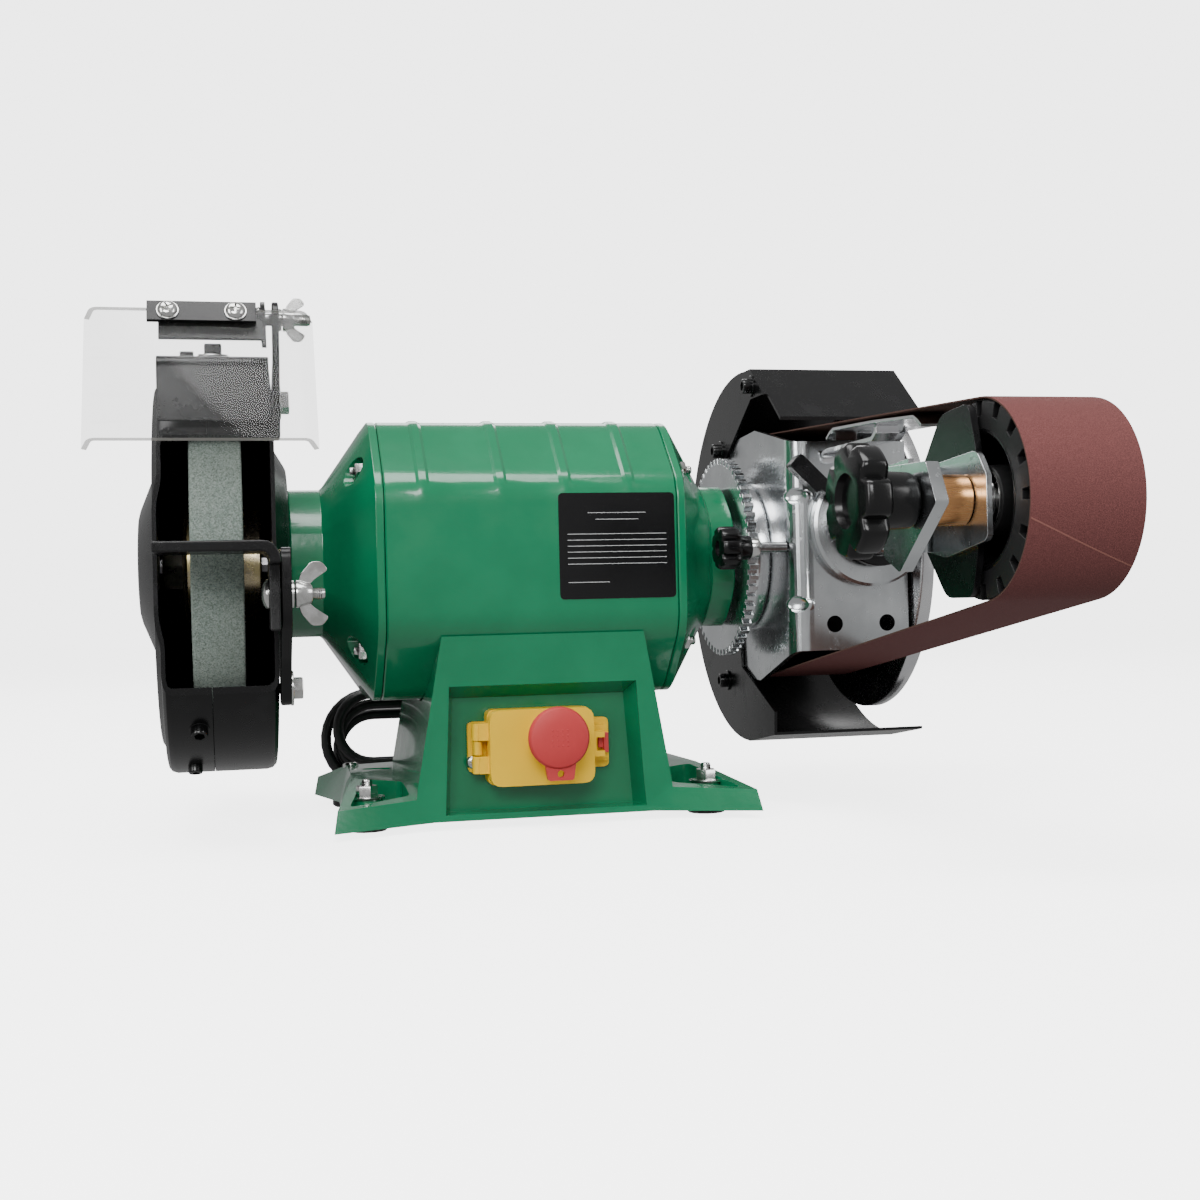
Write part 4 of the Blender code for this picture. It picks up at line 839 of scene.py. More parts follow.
dots = [aimed(dome(0.55, 0.22), (STOP_X + DOT_PITCH * column, -92.05, STOP_Z + DOT_PITCH * row), (0, -1, 0))
        for column in grid for row in grid]
piece("stop_mushroom_dots", merged(*dots), RED, "stop")

# %% [markdown]
# ## Grinding wheel and its flanges
#
# The wheel is turned true by dressing, so its sides are flat and its corners slightly worn. Two pressed
# flanges grip it, and a hexagon nut closes the stack. All are turned profiles on the spindle's own line.

# %% Wheel, flanges and nuts
WHEEL_LEFT, WHEEL_RIGHT, BORE = -175.7, -150.7, 8.3
side_line = [(0, BORE), (0, 60), (0, 98.6), (0.5, 99.6), (1.6, 100)]
wheel_profile = [(WHEEL_LEFT + inset, radius) for inset, radius in side_line]
wheel_profile += [(WHEEL_RIGHT - inset, radius) for inset, radius in reversed(side_line)]
piece("dressed_wheel", turn(wheel_profile, 160), WHEEL_GRIT, "spindle", ["grinding_wheel"])
flange_profiles = {
    "inner": [(-150.4, BORE), (-150.4, 18), (-149, 20), (-150.4, 29), (-150.4, 31.6), (-150, 32), (-141.8, 32),
              (-140.8, 31), (-140.8, 26), (-143, 20), (-143, BORE)],
    "outer": [(-181.2, BORE), (-181.2, 20), (-179.4, 33), (-178.4, 34), (-176.4, 34), (-176, 33.6), (-176, 29),
              (-177.2, 20), (-176, 18), (-176, BORE)]}
for word, profile in flange_profiles.items():
    piece(f"flange_{word}", turn(profile, 72), PASSIVATE, "spindle", [f"{word}_flange"])
for name, node, finish, flats, low, tall in (("arbor_nut", "spindle_nut", WHITE_NUT, 24, -181.5, 10),
                                             ("disc_lock_nut", "disc_nut", FASTENER, 22, 213.8, 5.2)):
    side = -1 if low < 0 else 1
    nut = draft(name, aimed(hex_head(flats, tall), (low, 0, 0), (side, 0, 0)), finish)
    carve(nut, "DIFFERENCE", bar("X", -200, 230, BORE, (0, 0)))
    complete(nut, "spindle", [node])

# %% [markdown]
# ## Wheel guard
#
# Two pressed half shells meet on a seam round the wheel: the inner one bolts to the motor, and the outer
# one is a cover with a raised dish. Both are revolved, and then the front is cut away where the work goes.
# A revolved shell with its own wall thickness shows the metal's edge at the mouth, which a single surface
# with no thickness would lose.

# %% Guard shells
MOUTH_Y, MOUTH_Z, GUARD_R, SEAM = -88.6, -66.0, 109.5, -167.0
GUARD_WALL = 2
inner_shell = [(SEAM + 0.3, GUARD_R - GUARD_WALL), (SEAM + 0.3, GUARD_R), (-140, GUARD_R), (-137, GUARD_R - 0.8),
               (-135.3, GUARD_R - 2.6), (-135, 105.6), (-135, 66), (-134, 63.5), (-128, 53.5), (-127, 51.5),
               (-127, 20), (-129, 20), (-129, 51), (-130, 53), (-136, 63), (-137, 65.6), (-137, 105), (-137.6, 106.4),
               (-139.5, GUARD_R - 2.2), (-141, GUARD_R - GUARD_WALL)]
cover_outside = [(-203.5, 0), (-203.5, 22), (-203.2, 26), (-202.2, 30), (-194.6, 49), (-193.5, 51.8), (-193.2, 55),
                 (-193.2, 92), (-192.9, 93.6), (-190.9, 96.8), (-190.5, 98.5), (-190.5, 104.5), (-190, 106.8),
                 (-188.6, 108.6), (-186, GUARD_R), (SEAM, GUARD_R)]
cover_inside = [(SEAM, GUARD_R - GUARD_WALL), (-186, GUARD_R - GUARD_WALL), (-187.6, 106.9), (-188.5, 104.8),
                (-188.5, 98), (-188.9, 96.2), (-190.9, 93), (-191.2, 91.4), (-191.2, 55), (-191.6, 52), (-200.6, 29),
                (-201.4, 25), (-201.5, 22), (-201.5, 0)]
ARM_BOLT, REST_BOLT, BOLT_HOLE = (-60, 80), (-80.5, -63), 3.4
mouth = block((-212, -150, MOUTH_Z), (-120, MOUTH_Y, 150))
for name, shell, node in (("guard_inner_shell", inner_shell, "wheel_guard"),
                          ("guard_outer_shell", cover_outside + cover_inside, "guard_cover")):
    half = draft(name, turn(shell, 128), POWDER)
    carve(half, "DIFFERENCE", mouth.copy())
    if node == "wheel_guard":
        carve(half, "DIFFERENCE", *[bar("X", -150, -120, BOLT_HOLE, bolt) for bolt in (ARM_BOLT, REST_BOLT)])
    complete(half, "machine", [node], edge=0.35, angle=30)
mouth.free()
for number, angle in enumerate((10, 100, 250)):
    y, z = (GUARD_R - 0.3) * math.cos(math.radians(angle)), (GUARD_R - 0.3) * math.sin(math.radians(angle))
    fasten(f"seam_screw_{number}", socket_screw(3.6, 4.4), (SEAM - 9.5, y, z), (0, y, z), "machine", KNOB, spin=number)
front = math.radians(228.5)
fasten("seam_screw_front", merged(washer(5.0, 2.0, 0.6), socket_screw(4.2, 4.8)),
       (SEAM - 6.5, (GUARD_R - 0.2) * math.cos(front), (GUARD_R - 0.2) * math.sin(front)),
       (0, math.cos(front), math.sin(front)), "machine", KNOB)

# %% Guard bolts
fasten("arm_bolt", merged(hex_bolt(10, 4.2), thread(3, -6, 1)), (-131.6, *ARM_BOLT), (1, 0, 0), "machine", spin=0.5)
fasten("rest_bracket_bolt", merged(hex_bolt(10, 4.6), thread(3, -6, 1)), (-129.3, *REST_BOLT), (1, 0, 0), "machine",
       spin=0.1)

# %% [markdown]
# ## Spark deflector
#
# A bent plate lies on the guard's top and turns down in front of the wheel. It slides forward as the wheel
# wears, so it has a slot under its screw. The plate and screw are separate bodies in real life too.

# %% Deflector
folded = fold(eased_path([(-45, 104), (-90.5, 97.5), (-92.5, 67)], 5, 5), 2, -189.5, -136.8)
slot = rounded([(-166.5, -74), (-159.5, -74), (-159.5, -52), (-166.5, -52)], 3.4)
plate = draft("deflector_plate", folded, POWDER)
carve(plate, "DIFFERENCE", extrude(slot, 95, 120, "Z"))
complete(plate, "deflector", ["spark_deflector"], edge=0.35, angle=30)
tilt = Vector((0, -6.5, 45.5)).normalized()
base = Vector((-163, -63.0, 102.5))
fasten("deflector_washer", washer(7.2, 3.2, 1.2), base, tilt, "machine", FASTENER)
fasten("deflector_screw", socket_screw(4.3, 5.2), base + tilt * 1.2, tilt, "machine", KNOB)

# %% [markdown]
# ## Tool rest
#
# The rest is a flat bar folded round the front of the wheel. It hangs on a carriage bolt in a slotted
# bracket, and a pressed wing nut locks it by hand. The ears of a wing nut are thin, and lean outwards from a
# conical hub, which is why the nut is a turned hub with two swept plates rather than one solid.

# %% Wing nuts
def wing_nut(name, node, body, face, centre, reach):
    """A pressed wing nut with its face at x, its axis along X and ears that reach that far out."""
    size = reach / 15.2
    hub = [(face, 3.4), (face, 3.4 + 3.0 * size), (face + 1.0 * size, 3.6 + 3.0 * size),
           (face + 5 * size, 3.4 + 2.2 * size), (face + 7.5 * size, 4.9), (face + 8 * size, 4.5),
           (face + 8 * size, 3.4)]
    nut = draft(name, turn(hub, 40, "X", centre), FASTENER)
    ear = rounded([(1.0, 4.0), (6.2, 4.0), (9.0, 6.8), (15.6, 11.2), (12.4, 15.2), (7.4, 15.2), (2.6, 9.6)], 1.6, 4)
    for side in (-1, 1):
        carve(nut, "UNION", extrude([(face + x * size, centre[1] + side * max(4.0, z * size)) for x, z in ear],
                                    centre[0] - 1.5, centre[0] + 1.5, "Y"))
    return complete(nut, body, [node], edge=0.45, steps=3)


REST_Y, REST_Z = -112.0, -17.0
wing_nut("rest_wing_nut", "tool_rest_wing_nut", "rest_nut", -127.5, (REST_Y, REST_Z), 15.2)
wing_nut("shield_wing_nut_pressed", "shield_wing_nut", "shield_nut", -129.5, (-90, 116.5), 10.4)

# %% Rest, bracket and bolt
folded = fold(eased_path([(-191.5, 5), (-141, 5), (-137.3, 1), (-137.3, -34)], 5, 6), 5, -145, -103.5, "Y")
relief = rounded([(-150, -3), (-126, -3), (-130, -40), (-150, -40)], 3)
rest = draft("rest_bar", folded, POWDER)
carve(rest, "DIFFERENCE", bar("X", -145, -130, 3.6, (REST_Y, REST_Z)), extrude(relief, -142, -133.6))
complete(rest, "rest", ["tool_rest"], edge=0.8, steps=3)
blank = [(-124, 5), (-100, 5), (-76, -50), (-71, -71), (-91.5, -71), (-102, -50), (-124, -30)]
slot = arc((REST_Y, -8), 3.6, 0, 180, 10) + arc((REST_Y, -23), 3.6, 180, 360, 10)
bracket = draft("rest_bracket", extrude(rounded(blank, 5), -134.4, -129.4), POWDER)
carve(bracket, "DIFFERENCE", extrude(slot, -140, -120), bar("X", -140, -120, 3.6, REST_BOLT))
complete(bracket, "machine", ["tool_rest_bracket"], edge=0.7, steps=3)


def carriage_bolt(name, node, body, at, length, radius):
    """A domed head at x = at[0], and a shank along +X with its thread."""
    profile = [(0, 0), (0.15, radius * 0.4), (0.9, radius * 0.75), (2.3, radius * 0.97), (3.2, radius),
               (3.6, radius * 0.96), (3.6, 3.0)]
    for step in range(int(length - 10)):
        profile += [(9 + step, 3.0), (9.5 + step, 2.7)]
    profile += [(length - 0.5, 2.4), (length, 0)]
    solid = turn([(at[0] + x, r) for x, r in profile], 32, "X", at[1:])
    return piece(name, solid, FASTENER, body, [node])


carriage_bolt("rest_carriage_bolt", "tool_rest_bolt", "rest_clamp", (-143.2, REST_Y, REST_Z), 30, 7.2)
fasten("rest_washer", washer(6.4, 3.3, 1.2), (-129.2, REST_Y, REST_Z), (1, 0, 0), "rest_clamp")

# %% [markdown]
# ## Eye shield
#
# A clear sheet with its sides folded back hangs on a black bar, and a bent bracket takes it to an arm on
# the guard. The sheet's outline is swept down the tilt, so its folds stay true at any angle. Its rim is a
# second finish, because light gathers in the cut edge of a clear sheet.

# %% Shield sheet
TOP, BOTTOM = Vector((-104, 118)), Vector((-137.4, 53.5))
DOWN = BOTTOM - TOP
BEHIND = Vector((-DOWN.y, DOWN.x)).normalized()
BEHIND = BEHIND if BEHIND.x > 0 else -BEHIND


def tilted(profile, start, end, thick):
    """Sweep an (x, behind) profile down the tilt of the shield, from one share of its height to another."""
    points = [Vector(point) for point in profile]
    runs = [(after - before).normalized() for before, after in zip(points, points[1:])]
    near, far = [], []
    for index, point in enumerate(points):
        mean = (runs[max(index - 1, 0)] + runs[min(index, len(runs) - 1)]).normalized()
        near.append(point - Vector((-mean.y, mean.x)) * thick / 2)
        far.append(point + Vector((-mean.y, mean.x)) * thick / 2)
    rows = []
    for share in (start, end):
        origin = TOP + DOWN * share
        rows.append([(p.x, origin.x + BEHIND.x * p.y, origin.y + BEHIND.y * p.y) for p in near + far[::-1]])
    return skin(rows)


profile = eased_path([(-220.2, 8.5), (-217.2, 0), (-120.4, 0), (-116.8, 8.5)], 2.6, 6)
SHEET = 2.4
sheet = draft("shield_sheet", tilted(profile, 0, 1, SHEET), CLEAR)
sheet.data.materials.append(CLEAR_EDGE)
SCREW_SPOT, SCREW_X = TOP + DOWN * 0.045, (-183, -152)
for x in SCREW_X:
    carve(sheet, "DIFFERENCE", aimed(bar("Z", -10, 10, 2.6, (0, 0)), (x, *SCREW_SPOT), (0, *BEHIND)))
SIDE_RIM = -219.5 * MM
for face in sheet.data.polygons:
    end_rim = abs(Vector(face.normal[1:]).dot(DOWN.normalized())) > 0.9
    side_rim = face.center.x < SIDE_RIM and abs(face.normal.x) > 0.6 and face.area < 1.2 * SHEET * DOWN.length * MM * MM
    if end_rim or side_rim:
        face.material_index = 1
complete(sheet, "shield", ["eye_shield"], angle=50)

# %% Shield bar, bracket, arm and screws
PIVOT = (-90.0, 116.5)
frame_bar = draft("shield_bar", tilted([(-192.5, -2.6), (-142.5, -2.6)], -0.035, 0.12, 2.0), POWDER)
carve(frame_bar, "UNION", tilted([(-187.5, 3.0), (-139.2, 3.0)], -0.03, 0.20, 2.0),
      extrude(arc(PIVOT, 8.5, -80, 100, 16) + [(-100.5, 119), (-110, 99.5)], -140.2, -138))
for x in SCREW_X:
    carve(frame_bar, "UNION", aimed(bar("Z", -2.6, 3.0, 2.2, (0, 0), 16), (x, *SCREW_SPOT), (0, *BEHIND)))
carve(frame_bar, "DIFFERENCE", bar("X", -150, -130, BOLT_HOLE, PIVOT))
complete(frame_bar, "shield", ["shield_frame"], edge=0.4)
for number, x in enumerate(SCREW_X):
    fasten(f"shield_screw_{number}", merged(washer(5.2, 2.2, 0.8), aimed(dome(4.6, 2.6), (0, 0, 0.8), (0, 0, 1))),
           (x, *(SCREW_SPOT - BEHIND * 3.6)), (0, *(-BEHIND)), "shield", slots=cross(3.4, 2.7, 0.9), spin=0.5 + number)
    fasten(f"shield_screw_nut_{number}", merged(hex_head(7, 3.2), thread(2.0, 1, 6.5, 0.7)),
           (x, *(SCREW_SPOT + BEHIND * 4.0)), (0, *BEHIND), "shield", spin=number)
arm_outline = arc(PIVOT, 8.5, 0, 180, 16) + [(-98.5, 104), (-97.5, 96), (-86, 60), (-68, 60), (-52, 74), (-52, 88),
                                             (-78, 98), (-81.5, 104)]
arm = draft("shield_arm_plate", extrude(arm_outline, -134.7, -131.7), POWDER)
carve(arm, "DIFFERENCE", bar("X", -140, -120, BOLT_HOLE, PIVOT), bar("X", -140, -120, 3.6, ARM_BOLT))
complete(arm, "machine", ["shield_arm"], edge=0.6)
carriage_bolt("shield_carriage_bolt", "shield_bolt", "shield", (-144, *PIVOT), 28, 6.2)
fasten("shield_washer", washer(5.4, 3.2, 1.2), (-131.4, *PIVOT), (1, 0, 0), "machine")

# %% [markdown]
# ## Index ring, clamp ring and lock knob
#
# The belt arm swings on the motor's right neck. A toothed ring stays with the motor, a polished ring clamps
# the arm beside it, and a black knob pulls a plunger out of the teeth. The teeth are cut straight into the
# ring's outline, since a milled tooth has flat flanks and no taper.

# %% Toothed and polished rings
def toothed(outer, depth, teeth):
    outline = []
    for tooth in range(teeth):
        for share, radius in ((0.0, outer), (0.45, outer), (0.55, outer - depth), (0.95, outer - depth)):
            heading = 2 * math.pi * (tooth + share) / teeth
            outline.append((radius * math.cos(heading), radius * math.sin(heading)))
    return outline


ring = draft("index_gear", extrude(toothed(56.7, 3.2, 60), 117.5, 123), ZINC)
carve(ring, "UNION", bar("X", 115.3, 134.9, 27, (0, 0), 72))
carve(ring, "DIFFERENCE", bar("X", 110, 140, 14, (0, 0), 48))
complete(ring, "machine", ["index_ring"], edge=0.3, angle=30)
collar = [(123.3, 27.3), (123.3, 39.2), (123.8, 40.2), (125, 41.6), (126, 42), (133.6, 42), (134.6, 41.6), (135, 41),
          (135, 27.3)]
piece("clamp_collar", turn(collar, 128), POLISHED, "linisher", ["clamp_ring"])
for number, angle in enumerate((60, 180, 300)):
    y, z = 34 * math.cos(math.radians(angle)), 34 * math.sin(math.radians(angle))
    fasten(f"clamp_screw_{number}", socket_screw(3.2, 1.4), (123.4, y, z), (-1, 0, 0), "linisher", FASTENER)

# %% Lobed knobs
def lobed_knob(name, node, body, centre, outer, inner, low, high, extras, bore=None):
    """A moulded star knob: its lobes are eased in at both faces."""
    easing = ((low, 0.90), (low + 0.5, 0.95), (low + 1.6, 0.99), (low + 3, 1.0), (high - 2.2, 1.0),
              (high - 0.8, 0.98), (high, 0.93))
    knob = draft(name, skin([[(x, y, z) for y, z in lobed(outer * size, inner * size, 7, centre)]
                             for x, size in easing]), KNOB)
    for extra in extras:
        carve(knob, "UNION", turn(extra, 48, "X", centre))
    if bore:
        carve(knob, "DIFFERENCE", turn(bore, 48, "X", centre))
    return complete(knob, body, [node], angle=42)


LOCK = (-66.0, 3.0)
lobed_knob("lock_knob_star", "index_lock_knob", "lock_knob", LOCK, 11.5, 9.3, 96.5, 107,
           [[(106, 0), (106, 7), (107.5, 7), (113.8, 6.4), (114.5, 5.8), (114.5, 0)]],
           [(96, 0), (96, 4.2), (97.6, 4.0), (97.6, 0)])
sleeve = [(114, 0), (114, 5), (114.6, 5.4), (119, 5.4), (119.5, 4.9), (119.5, 0)]
piece("lock_knob_sleeve", turn(sleeve, 48, "X", LOCK), FASTENER, "lock_knob")
piece("lock_plunger", bar("X", 119.3, 134.8, 2.8, LOCK), STEEL, "lock_knob")

# %% [markdown]
# ## Arm bracket
#
# One zinc plate is blanked, drilled and bent: its side cheek bolts to the clamp ring and its front cheek
# carries the tensioning gear. The blank's outline trims a folded strip, so the bend keeps its radius where
# the outline crosses it. Two darts are pressed across the bend to stiffen it.

# %% Bent plate
CHEEK_X, FRONT_Y, CHEEK_BEND = 136.8, -75.0, 10.0
corner = Vector((CHEEK_X, FRONT_Y))
start, end = corner + Vector((0, CHEEK_BEND)), corner + Vector((CHEEK_BEND, 0))
curve = [tuple(start * (1 - s) ** 2 + corner * 2 * s * (1 - s) + end * s * s) for s in (step / 8 for step in range(9))]
bend = [(CHEEK_X, 48)] + curve + [(200.5, FRONT_Y)]
cheek = draft("arm_plate", fold(bend, 3, -80, 80, "Z"), ZINC)
blank = [(-85, -53), (-74.5, -53), (-18, -71), (33, -68), (46, -40), (46, 50), (33, 68), (-18, 71), (-74.5, 59),
         (-85, 59)]
carve(cheek, "INTERSECT", extrude(blank, 120, 210))
carve(cheek, "DIFFERENCE", bar("X", 130, 145, 20, (0, 0), 48), bar("X", 130, 145, BOLT_HOLE, LOCK),
      *[bar("Y", -90, -60, 4.5, (x, -39)) for x in (158, 188)])
crown = corner.lerp(start.lerp(end, 0.5), 0.5)


def dart(height, inward, reach, wide, deep):
    """A stretched ball across the bend, for pressing a stiffening dart into it."""
    ball = bmesh.new()
    bmesh.ops.create_icosphere(ball, subdivisions=4, radius=1.0)
    turned = Matrix.Rotation(math.radians(-45), 4, "Z") @ Matrix.Diagonal((reach, deep, wide, 1))
    return moved(ball, Matrix.Translation((crown.x + inward, crown.y + inward, height)) @ turned)


for height in (30.0, -28.0):
    carve(cheek, "UNION", dart(height, 1.4, 8.6, 5.6, 3.2))
    carve(cheek, "DIFFERENCE", dart(height, -1.5, 8.0, 4.7, 2.9))
complete(cheek, "linisher", ["arm_bracket"], edge=0.45, angle=30)

# %% [markdown]
# ## Belt guard
#
# Folded black sheet goes round the back of the drive wheel and the disc. It is open to the right, has a flap
# over the belt's top run and another below. Its rim is one arc with two straight tails, cut hollow with a
# slightly smaller arc, so the wall has the same thickness all round.

# %% Guard body
LEFT_FACE, RIGHT_EDGE, RIM_R, WALL = 133.4, 221.5, 106.5, 1.6
outside = [(-58, 74.5), (-18, 106.2)] + arc((0, 0), RIM_R, 94, -86, 56) + [(-2, -106.6), (-45, -100)]
inside = [(-72.7, 60.8), (-17.7, 104.2)] + arc((0, 0), RIM_R - WALL, 94, -86, 56) + [(-2, -105), (-45, -98.4),
                                                                                    (-65, -95.3)]
front = [(-90, 89), (-18, 89), (30, 60), (30, 20), (12, -40), (9, -64), (-46, -87), (-90, -87)]
shell = draft("belt_guard_shell", extrude(outside, LEFT_FACE, RIGHT_EDGE), POWDER)
carve(shell, "DIFFERENCE", extrude(inside, LEFT_FACE + WALL, RIGHT_EDGE + 10),
      extrude(front, LEFT_FACE - 1, LEFT_FACE + 3), bar("X", LEFT_FACE - 1, LEFT_FACE + 3, 42.8, (0, 0), 64))
complete(shell, "linisher", ["belt_guard"], edge=0.35, angle=28)
for number, (y, z) in enumerate(((39, 65), (36, -73), (-20, 96))):
    fasten(f"guard_screw_{number}", merged(washer(6.0, 2.6, 1.0), aimed(socket_screw(4.2, 4.6), (0, 0, 1), (0, 0, 1))),
           (LEFT_FACE - 0.1, y, z), (-1, 0, 0), "linisher", KNOB)

# %% [markdown]
# ## Belt
#
# The belt wraps two wheels of different sizes, so its two straight runs lean towards each other. The loop is
# two arcs joined by their common tangents, worked out from the wheels' radii. It has grit outside and cloth
# inside, as two finishes on one mesh, and a diagonal splice where its ends were joined.

# %% Belt loop
BELT_LEFT, BELT_RIGHT, BELT_THICK = 142.0, 192.0, 0.8
DRIVE_R, IDLER_R, IDLER = 70.0, 42.35, (-278.5, 13.8)
reach = math.hypot(*IDLER)
heading = math.degrees(math.atan2(IDLER[1], IDLER[0]))
lean = math.degrees(math.acos((DRIVE_R - IDLER_R) / reach))


def belt_line(grow):
    """Points round the belt, with the straight runs divided too."""
    wrap = arc((0, 0), DRIVE_R + grow, heading + lean, heading - lean + 360, 64)
    turn_round = arc(IDLER, IDLER_R + grow, heading - lean, heading + lean, 48)
    points = wrap[:]
    for start, end, following in ((wrap[-1], turn_round[0], turn_round), (turn_round[-1], wrap[0], [])):
        points += [tuple(Vector(start).lerp(Vector(end), step / 12)) for step in range(1, 12)] + following
    return points


belt = bmesh.new()
stations = ((BELT_LEFT, -0.12), (BELT_LEFT + 1, 0), (BELT_LEFT + 25, 0), (BELT_RIGHT - 1, 0), (BELT_RIGHT, -0.12))
rows = [[belt.verts.new((x, y, z)) for y, z in belt_line(grow)] for x, grow in stations]
rows += [[belt.verts.new((x, y, z)) for y, z in belt_line(-BELT_THICK)]
         for x in (BELT_RIGHT, BELT_LEFT + 25, BELT_LEFT)]
for number, (first, second) in enumerate(zip(rows, rows[1:] + rows[:1])):
    for here in range(len(first)):
        after = (here + 1) % len(first)
        belt.faces.new((first[here], first[after], second[after], second[here])).material_index = int(number >= 4)
loop = draft("grit_belt", belt, BELT_GRIT)
loop.data.materials.append(BELT_BACK)
complete(loop, "linisher", ["abrasive_belt"], angle=40)

# %% Belt splice
splice, INSET, HALF_WIDE = [], 0.4, 0.35
corners = [(IDLER_R + depth, side) for depth, side in
           ((-0.3, -HALF_WIDE), (0.06, -HALF_WIDE), (0.06, HALF_WIDE), (-0.3, HALF_WIDE))]
for step in range(25):
    share = step / 24
    turned = math.radians(193 + 30 * share)
    out = Vector((math.cos(turned), math.sin(turned)))
    down = Vector((-out.y, out.x))
    x = BELT_LEFT + INSET + (BELT_RIGHT - BELT_LEFT - 2 * INSET) * share
    splice.append([(x, *(Vector(IDLER) + out * a + down * b)) for a, b in corners])
piece("belt_splice", skin(splice), BELT_SPLICE, "linisher")

# %% [markdown]
# ## Sanding disc
#
# The spindle's outer end carries a flat disc with abrasive paper on its face, for shaping end grain and
# plastics. Its rim is turned bright, and shows as a silver edge behind the belt.

# %% Disc
disc = [(191.8, BORE), (191.8, 18.6), (192.3, 19), (200, 21), (203, 30), (203, 87.6), (203.6, 88.6), (204.4, 89),
        (210.0, 89), (210.8, 88.6), (211.0, 88), (211, 30), (213.3, 28), (213.3, BORE)]
piece("disc_plate", turn(disc, 128), ALUMINIUM, "spindle", ["sanding_disc"])
piece("disc_face_paper", turn([(210.9, 31), (210.9, 86.5), (211.2, 86.5), (211.2, 31)], 128), DISC_PAPER, "spindle")

# %% [markdown]
# ## Platen
#
# A thin polished plate backs the belt's upper run, so that flat work stays flat. It is bowed a little and
# stands on a leg from the front cheek. One folded strip makes each, joined where they are spot welded.

# %% Platen
def under_belt(y, drop):
    """The height of something that far below the belt's upper run."""
    return 70.0 + (y + 3.5) / 277.1 * 13.7 - BELT_THICK - 0.9 - drop


bow = [(y, under_belt(y, drop)) for y, drop in
       ((-215, 6), (-211, 3.4), (-207, 1.6), (-160, 0.8), (-110, 1.2), (-105, 2.9), (-100, 6))]
leg = [(-150, under_belt(-150, 2)), (-150, 56), (-145, 53), (-83, 53), (-79.4, 52), (-78.3, 49.5), (-78.3, 47)]
platen = draft("platen_strip", fold(bow, 1.8, 146, 188), POLISHED)
carve(platen, "UNION", fold(leg, 2.5, 152, 164))
complete(platen, "linisher", ["platen"], edge=0.3, angle=30)

# %% [markdown]
# ## Tensioning gear
#
# A cam boss on the front cheek holds a steel bar, and its lever draws the bar in to slacken the belt. The bar
# carries a plate, a fork and the idler's axle, which the large knob tilts to make the belt track.

# %% Boss, lever and bar
BOSS = (178.0, 13.8)
housing = [(-76.8, 11.2), (-76.8, 32.4), (-77.4, 33), (-80, 33), (-80.3, 32.4), (-80.6, 33), (-82.5, 33), (-84, 31.5),
           (-84, 18), (-84.6, 17), (-110.5, 17), (-111.5, 16), (-111.5, 11.2)]
boss = draft("cam_housing", turn(housing, 96, "Y", BOSS), ZINC)
carve(boss, "DIFFERENCE", block((202.5, -120, -40), (220, -60, 60)))
complete(boss, "linisher", ["cam_boss"], edge=0.25, angle=30)
away = Vector((-0.83, 0.56)).normalized()
across = Vector((-away.y, away.x))
LEVER_Y, KNEE = -90.5, 46
clamp = [(-3, 17.3), (-3, 22), (-2.5, 22.5), (2.5, 22.5), (3, 22), (3, 17.3)]
lever = draft("cam_lever", turn([(LEVER_Y + y, radius) for y, radius in clamp], 56, "Y", BOSS), POWDER)
for start, end, half, drooped in ((19, 49, 2.8, 0), (37, 58, 4.6, 10)):
    lean_way = Matrix.Rotation(-math.radians(drooped), 2)
    corners = [(start, -half), (end, -half), (end, half), (start, half)]
    grip = [tuple(Vector(BOSS) + away * KNEE + lean_way @ (away * (a - KNEE) + across * b)) for a, b in corners]
    carve(lever, "UNION", extrude(rounded(grip, half * 0.35), LEVER_Y - half * 0.8, LEVER_Y + half * 0.8, "Y"))
complete(lever, "lever", ["tension_lever"], edge=0.8, steps=3)
END_Y = -229.0


def about_idler(*points):
    return [(IDLER[0] + y, IDLER[1] + z) for y, z in points]


OCTAGON = about_idler((47, -15), (47, 15), (26, 38), (0, 40), (-6, 20), (-6, -20), (0, -40), (24, -40))
rod = [(END_Y, 0), (END_Y, 10.8), (-88.6, 10.8), (-88, 10.2), (-88, 0)]
slider = draft("slide_bar", turn(rod, 64, "Y", BOSS), STEEL)
carve(slider, "UNION", block((133, END_Y - 2, BOSS[1] - 15), (189, END_Y + 3, BOSS[1] + 15)))
carve(slider, "DIFFERENCE", extrude(OCTAGON, 137.5, 141.1), block((120, END_Y - 10, -10), (137.5, END_Y + 4, 40)))
complete(slider, "idler_carrier", ["tension_bar"], edge=0.5)

# %% Carrier plate, fork, bush and axle
AXLE_HOLE = 6.2
carrier = draft("carrier_octagon", extrude(rounded(OCTAGON, 5, 3), 137.8, 140.8), POWDER)
carve(carrier, "DIFFERENCE", bar("X", 130, 150, AXLE_HOLE, IDLER))
complete(carrier, "idler_carrier", ["carrier_plate"], edge=0.5)
corners = [(116.7, IDLER[0] + 10), (116.7, IDLER[0] + 34.5), (136.2, IDLER[0] + 34.5), (136.2, IDLER[0] - 20)]
fork_path = eased_path(corners, 4, 5)
fork = draft("fork_strap", fold(fork_path, 2.6, IDLER[1] - 40, IDLER[1] + 30, "Z"), ZINC)
rear = about_idler((-20, -17), (18, -23), (45, -18), (45, 16), (-12, 19.5), (-22, 6))
nose = about_idler((-22, -2), (14, -29), (30, -22), (30, 16), (-13, 15))
carve(fork, "INTERSECT", extrude(rounded(rear, 4, 4), 110, 150))
carve(fork, "UNION", extrude(rounded(nose, 1.5, 3), 112.2, 118))
carve(fork, "DIFFERENCE", bar("X", 110, 150, AXLE_HOLE, IDLER))
complete(fork, "idler_carrier", ["idler_fork"], edge=0.5)
bush = [(118.3, AXLE_HOLE), (118.3, 10), (118.8, 10.5), (134, 10.5), (134.5, 10), (134.5, AXLE_HOLE)]
